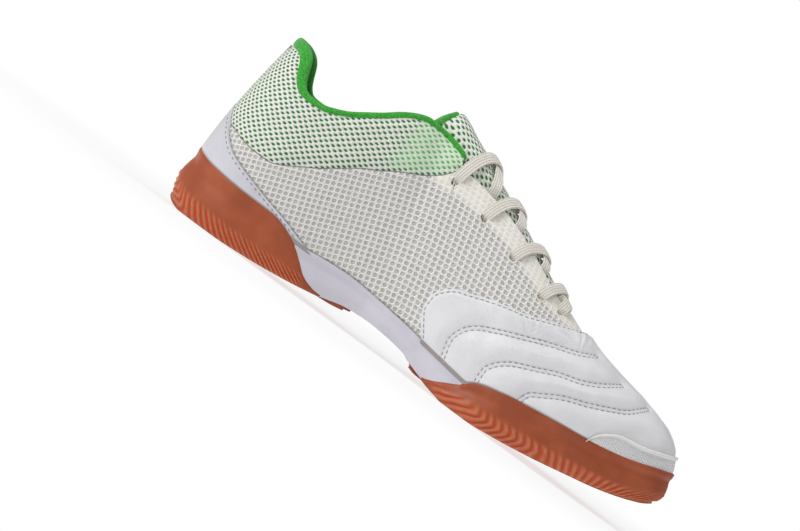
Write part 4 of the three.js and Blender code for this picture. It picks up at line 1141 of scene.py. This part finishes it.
tongue_pad = make("tongue", tongue(), tongue_cloth, ["tongue"])


def tongue_binding():
    """The green roll along the tongue's rear edge."""
    w = np.linspace(-1, 1, 61)
    x = 97.4 - 5.2 * np.abs(w) ** 1.6
    p, share = on_top(x, w * 20.6)
    path = soften(surface(p, share, (LINING - GAP) - 1.9), 3)
    return rope(path, normals(p, share), 1.7, 2.35, sides=14, power=2.4)


tongue_roll = make("tongue_binding", tongue_binding(), green_knit, ["tongue"])


# Laces

def lace_strip(start, end, over, tuck):
    """A flat lace from inside one eyelet over the tongue, its far end in another eyelet or under the edge."""
    t = np.linspace(0, 1, 84)
    x = start[0] + (end[0] - start[0]) * t
    w0, w1 = start[1] - ridge_at(start[0]), end[1] - ridge_at(end[0])
    w = w0 + (w1 - w0) * t
    p, share = on_top(x, w)
    base = bare_surface(p, share)
    run = np.concatenate([[0], np.cumsum(np.linalg.norm(np.diff(base, axis=0), axis=1))])
    total = run[-1]
    lift = 0.35 + over * bell(run - total / 2, total * 0.17)
    lift = lift + 0.9 * bell(run - 7, 4.5)
    start_dip = -4.6 * (1 - smooth(0, 3.0, run))
    if tuck:
        edge = throat_half(x) - np.sign(w1) * w
        lift = np.where(run > total / 2, lift * smooth(-1, 5, edge) - 4.6 * smooth(3.5, -0.5, edge), lift)
    else:
        start_dip = start_dip - 4.6 * (1 - smooth(0, 3.0, total - run)) + 0.9 * bell(total - run - 7, 4.5)
    path = surface(p, share, 0) + normals(p, share) * (lift + start_dip)[:, None]
    if tuck:
        keep = (run < total / 2) | (throat_half(x) - np.sign(w1) * w > -2.5)
        path, p, share = path[keep], p[keep], share[keep]
    path = soften(path, 3)
    return path, normals(p, share)


def lace(path, up):
    """The lace's flat woven section along its path, ribbed along its length."""
    a = np.linspace(0, 2 * np.pi, 40, endpoint=False)
    c, q = np.cos(a), np.sin(a)
    w = np.sign(c) * np.abs(c) ** 0.8
    h = np.sign(q) * np.abs(q) ** 0.6 * (0.65 + 0.1 * np.cos(2 * np.pi * w * 2.5))
    ahead = unit(np.gradient(path, axis=0))
    across = unit(np.cross(ahead, up))
    up = unit(np.cross(across, ahead))
    width = 3.1
    run = np.concatenate([[0], np.cumsum(np.linalg.norm(np.diff(path, axis=0), axis=1))])
    narrow = 0.62 + 0.38 * smooth(0, 5, run) * smooth(0, 5, run[-1] - run)
    points = path[:, None] + across[:, None] * (w[:, None] * width)[None] * narrow[:, None, None]
    points = points + up[:, None] * h[None, :, None]
    uv = np.stack(np.broadcast_arrays(run[:, None], (w * width)[None, :]), -1)
    return Sheet(points, uv, wrap=True)


eyes = {side: surface(*eyelet_spots[side], 0) for side in (1, -1)}
strips = [lace_strip(eyes[-1][4], eyes[1][4], 0.0, False)]
for k in range(4):
    strips.append(lace_strip(eyes[1][k], eyes[-1][k + 1], 0.0, True))
    strips.append(lace_strip(eyes[-1][k], eyes[1][k + 1], 1.5, True))
make("laces", [lace(path, up) for path, up in strips], lace_cloth, ["laces"])


# Overlays

def overlay(places, inside, rows, face, relief=None, from_path=False):
    """A thin overlay on the surface between two lines. Its upper edge rolls down to the cloth below it as a
    quarter circle of the distance from the edge, along a column or from the edge's whole line."""
    lo, hi = band(places, inside)
    share = grid_of(lo, hi, rows)
    base = bare_surface(places[:, None], share)
    run = np.concatenate([np.zeros((len(places), 1)), np.cumsum(np.linalg.norm(np.diff(base, axis=1), axis=2), 1)], 1)
    from_low, from_high = run, run[:, -1:] - run + 60 * (hi[:, None] > 0.9985)
    if from_path:
        free = hi < 0.9985
        free_low = base[:, 0, 2] > rim(base[:, 0, 0]) + 1.6
        first, last = (int(f.argmin()) for f in (free, free[::-1]))
        first_low, last_low = (int(f.argmin()) for f in (free_low, free_low[::-1]))
        line = np.concatenate([base[:first_low, 0][::-1], base[:first, -1], base[len(hi) - last:, -1],
                               base[len(hi) - last_low:, 0][::-1]])
        from_high = distance(base, even(line, 0.6))[0]
    rolled = 1 - np.sqrt(np.clip(1 - (1 - np.clip(from_high / 0.9, 0, 1)) ** 2, 0, 1))
    offset, extra = face + (UPPER - 0.3 - face) * rolled, {}
    if relief is not None:
        more, extra = relief(base, from_low, from_high)
        offset = offset + more
    # The foot value is a painted shadow line just above the sole's rim.
    return Sheet(surface(places[:, None], share, offset), cloth_map(places, share), foot=painted_shadow_line(base), **extra)


def over_sole(q):
    """How far a spot lies above the sole's rim, with a little to spare."""
    return q[..., 2] - rim(q[..., 0]) + 1.2


counter_places = both_sides(stops((0, 0.9), (place_of(82), 1)))
counter_sheet = overlay(counter_places, lambda q: np.minimum(counter(q[..., 0]) - q[..., 2], over_sole(q)), 46, 0.0)
make("heel_counter", counter_sheet, counter_film, ["heel_counter"])


def inside_vamp(q):
    """Positive ahead of the vamp's rear line, above the sole and the toe bumper."""
    x, z = q[..., 0], q[..., 2]
    over_bumper = np.where(x > 245, z - bumper(x) + 0.8, 50)
    return np.minimum(np.minimum(x - vamp_x(z), over_sole(q)), over_bumper)


vamp_half = stops((place_of(137.5), 0.85), (place_of(200), 0.17), (place_of(215), 0.85), (LOOP / 2, 1))
vamp_places = np.concatenate([vamp_half, LOOP - vamp_half[-2::-1]])
channel_paths = []
for line in CHANNELS:
    for side in (1, -1):
        place, share = lay(line, side, 1.0).T
        channel_paths.append((surface(place, share, 0), normals(place, share)))


def vamp_relief(base, from_low, from_high):
    """Padding that swells between the sewn channels, dips at their two rows, and fine gathers behind them."""
    x, z = base[..., 0], base[..., 2]
    near = np.full(x.shape, 1e9)
    for path, _ in channel_paths:
        d, _ = distance(base, path)
        near = np.minimum(near, d)
    puff = 1.7 * (1 - np.exp(-(near / 4.6) ** 2)) - 0.6
    dip = -0.42 * bell(near - 1.05, 0.42) - 0.1 * bell(near, 0.8)
    fade = smooth(0, 4, np.minimum(from_low, from_high))
    toe = smooth(250, 272, x)
    puff = puff * fade * (1 - 0.45 * toe)
    side = np.where(base[..., 1] > ridge_at(x), 1, 2)
    along = x + 0.25 * z
    lean = 0.5 + 0.5 * ripple(along, 17, 3, 40, 15)
    gather = ripple(along - lean * from_high, 11, 7, 7.5, 2.6)
    gather = gather * smooth(15, 3, from_high + 2.5 * ripple(along, 19, 3, 17, 6)) * smooth(0.6, 2.4, from_high)
    gather = gather * (smooth(176, 186, x) * smooth(222, 206, x) + 0.35 * smooth(146, 156, x) * smooth(250, 236, x))
    folds = ripple(x * 0.7 + z * 1.1, 12, 5, 46, 17) * 0.16 + ripple(along, 13, 4, 20, 9) * 0.07 * side / 2
    edge_dip = -0.3 * bell(from_high - 1.9, 0.5)
    more = puff + dip + 0.34 * gather * fade + folds * fade + edge_dip
    # The dark value is painted shade for the channels' dips and the dip along the edge.
    return more, {"dark": np.clip(-dip / 0.5 + 0.6 * bell(from_high - 1.9, 0.5), 0, 1)}


vamp_sheet = overlay(vamp_places, inside_vamp, 112, 0.0, vamp_relief, from_path=True)
make("vamp", vamp_sheet, hide, ["vamp"])


def bumper_relief(base, from_low, from_high):
    """The raised lip along the bumper's top edge, highest at the toe."""
    toe = smooth(246, 285, base[..., 0])
    lip = (0.5 + 0.8 * toe) * smooth(2.6, 1.2, from_high)
    return lip, {"flat": smooth(2.4, 1.7, from_high)}


bumper_places = round_toe(place_of(243.5), 420)
bumper_sheet = overlay(
    bumper_places, lambda q: np.minimum(bumper(q[..., 0]) - q[..., 2], over_sole(q)), 44, 0.4, bumper_relief)
make("toe_bumper", bumper_sheet, toe_rubber, ["toe_bumper"])


# Stitches

def shifted(path, up, way):
    """A path moved sideways over the surface."""
    across = unit(np.cross(unit(np.gradient(path, axis=0)), up))
    return path + across * way


def snapped(path, up, sheet, sink=0.0):
    """A path moved along its up directions onto the nearest spots of a sheet, and then sunk a little."""
    moved_path = path.copy()
    for i, (spot, high) in enumerate(zip(path, up)):
        box = np.abs(sheet.points - spot).max(1) < 3
        near = sheet.points[box]
        side = near - spot
        flat = side - (side @ high)[:, None] * high
        best = np.argsort((flat ** 2).sum(1))[:3]
        moved_path[i] = spot + high * ((side[best] @ high).mean() - sink)
    return moved_path


threads = []
for path, up in channel_paths:
    fine = even(np.concatenate([path, up], 1), 0.5)
    line, high = fine[:, :3], unit(fine[:, 3:])
    left, right = shifted(line, high, 1.05), shifted(line, high, -1.05)
    turn = np.linspace(0, np.pi, 9)[1:-1, None]
    ahead = unit(line[-1] - line[-4])
    round_end = line[-1] + (left[-1] - line[-1]) * np.cos(turn) + ahead * 1.05 * np.sin(turn)
    path = np.concatenate([left, round_end, right[::-1]])
    high = np.concatenate([high, np.repeat(high[-1:], 7, 0), high[::-1]])
    threads += stitches(snapped(path, high, vamp_sheet), high, 2.0, 1.0)
make("channel_stitches", threads, white_thread, ["vamp"])


def inner_line(line, side, inward):
    """A side line moved over the surface away from an overlay's edge."""
    place, share = lay(line, side, 0.7).T
    path, up = surface(place, share), normals(place, share)
    return shifted(path, up, inward), up


threads = []
for side in (1, -1):
    path, up = inner_line(VAMP_LINE[1:-1], side, -1.9 * side)
    threads += stitches(snapped(path, up, vamp_sheet), up, 2.0, 1.0)
make("vamp_stitches", threads, white_thread, ["vamp"])
threads = []
for side in (1, -1):
    path, up = inner_line(COUNTER_LINE[2:-1], side, -1.4 * side)
    threads += stitches(snapped(path, up, counter_sheet), up, 1.6, 1.7, 0.24, 0.08)
make("counter_stitches", threads, dark_thread, ["heel_counter"])


# Floor, lights and camera

def floor_paint():
    """Near-white floor that turns into plain white further out."""
    m = Paint("floor", Roughness=0.9, Specular_IOR_Level=0.1)
    m.set(Base_Color=m.mix(m.noise(0.002, 2), srgb(250, 250, 251), srgb(253, 253, 254)))
    white = m.node("ShaderNodeEmission", {"Color": (1, 1, 1, 1), "Strength": 1.0})
    away = m.node("ShaderNodeVectorMath", {0: m.place}, operation="LENGTH").outputs["Value"]
    blend = m.node("ShaderNodeMixShader", {0: m.step(away, 120, 420, 0.72, 1.0)})
    m.tree.links.new(m.shader.outputs[0], blend.inputs[1])
    m.tree.links.new(white.outputs[0], blend.inputs[2])
    m.tree.links.new(blend.outputs[0], m.tree.nodes["Material Output"].inputs[0])
    return m.material


def stage_floor():
    """A flat round floor just under the sole, finer towards its middle."""
    r = np.linspace(0.001, 1, 40)[:, None] ** 1.6 * 4000
    a = np.linspace(0, 2 * np.pi, 97)[:-1]
    sheet = Sheet(np.stack([r * np.cos(a), r * np.sin(a), 0 * r - 0.02 + 0 * a], -1), wrap=True)
    mesh = bpy.data.meshes.new("floor")
    mesh.from_pydata((sheet.points / 1000).tolist(), [], sheet.faces.tolist())
    obj = bpy.data.objects.new("floor", mesh)
    bpy.context.scene.collection.objects.link(obj)
    mesh.materials.append(floor_paint())


stage_floor()
TURN, TILT, ROLL = math.radians(-2.5), math.radians(1.0), math.radians(36.0)
TARGET = (np.array([119.2, -45.0, 43.2]) - ORIGIN) / 1000
DISTANCE = 4.0
view = Vector((math.sin(TURN) * math.cos(TILT), math.cos(TURN) * math.cos(TILT), -math.sin(TILT)))
level = Vector((math.cos(TURN), -math.sin(TURN), 0))
high = (-view).cross(level)
right = math.cos(ROLL) * level + math.sin(ROLL) * high
top = -math.sin(ROLL) * level + math.cos(ROLL) * high


def facing(back, up, place):
    """A placed frame whose local Z is the given back direction."""
    back = back.normalized()
    side = up.cross(back).normalized()
    turned = Matrix((side, back.cross(side), back)).transposed().to_4x4()
    turned.translation = place
    return turned


camera = bpy.data.objects.new("camera", bpy.data.cameras.new("camera"))
camera.data.sensor_width, camera.data.lens = 36, 363
camera.data.clip_end = 20
camera.matrix_world = facing(-view, top, Vector(TARGET) - view * DISTANCE)
bpy.context.scene.collection.objects.link(camera)
bpy.context.scene.camera = camera
bpy.context.scene.view_settings.view_transform = "Standard"


def lamp(name, away, distance, size, power, colour=(1, 1, 1)):
    """A square soft light aimed at the shoe from a direction given along the image's axes."""
    data = bpy.data.lights.new(name, "AREA")
    data.shape, data.size, data.energy, data.color = "SQUARE", size, power, colour
    obj = bpy.data.objects.new(name, data)
    direction = (right * away[0] + top * away[1] - view * away[2]).normalized()
    obj.matrix_world = facing(direction, Vector((0, 0.1, 1)), Vector((0, 0, 0.05)) + direction * distance)
    bpy.context.scene.collection.objects.link(obj)


lamp("key", (-0.2, 1.0, 0.45), 1.3, 0.7, 9)
lamp("front", (0.5, 0.1, 1.0), 1.9, 1.0, 1.3)
lamp("rim", (0.9, 0.7, -0.1), 1.4, 0.8, 5)
world = bpy.data.worlds.new("world")
bpy.context.scene.world = world
world.use_nodes = True
sky = world.node_tree
sky.nodes["Background"].inputs[0].default_value = (1, 1, 1, 1)
# White to the camera, dimmer as a light
sight, dim = sky.nodes.new("ShaderNodeLightPath"), sky.nodes.new("ShaderNodeMapRange")
dim.inputs[3].default_value, dim.inputs[4].default_value = 0.31, 1.0
sky.links.new(sight.outputs["Is Camera Ray"], dim.inputs[0])
sky.links.new(dim.outputs[0], sky.nodes["Background"].inputs[1])
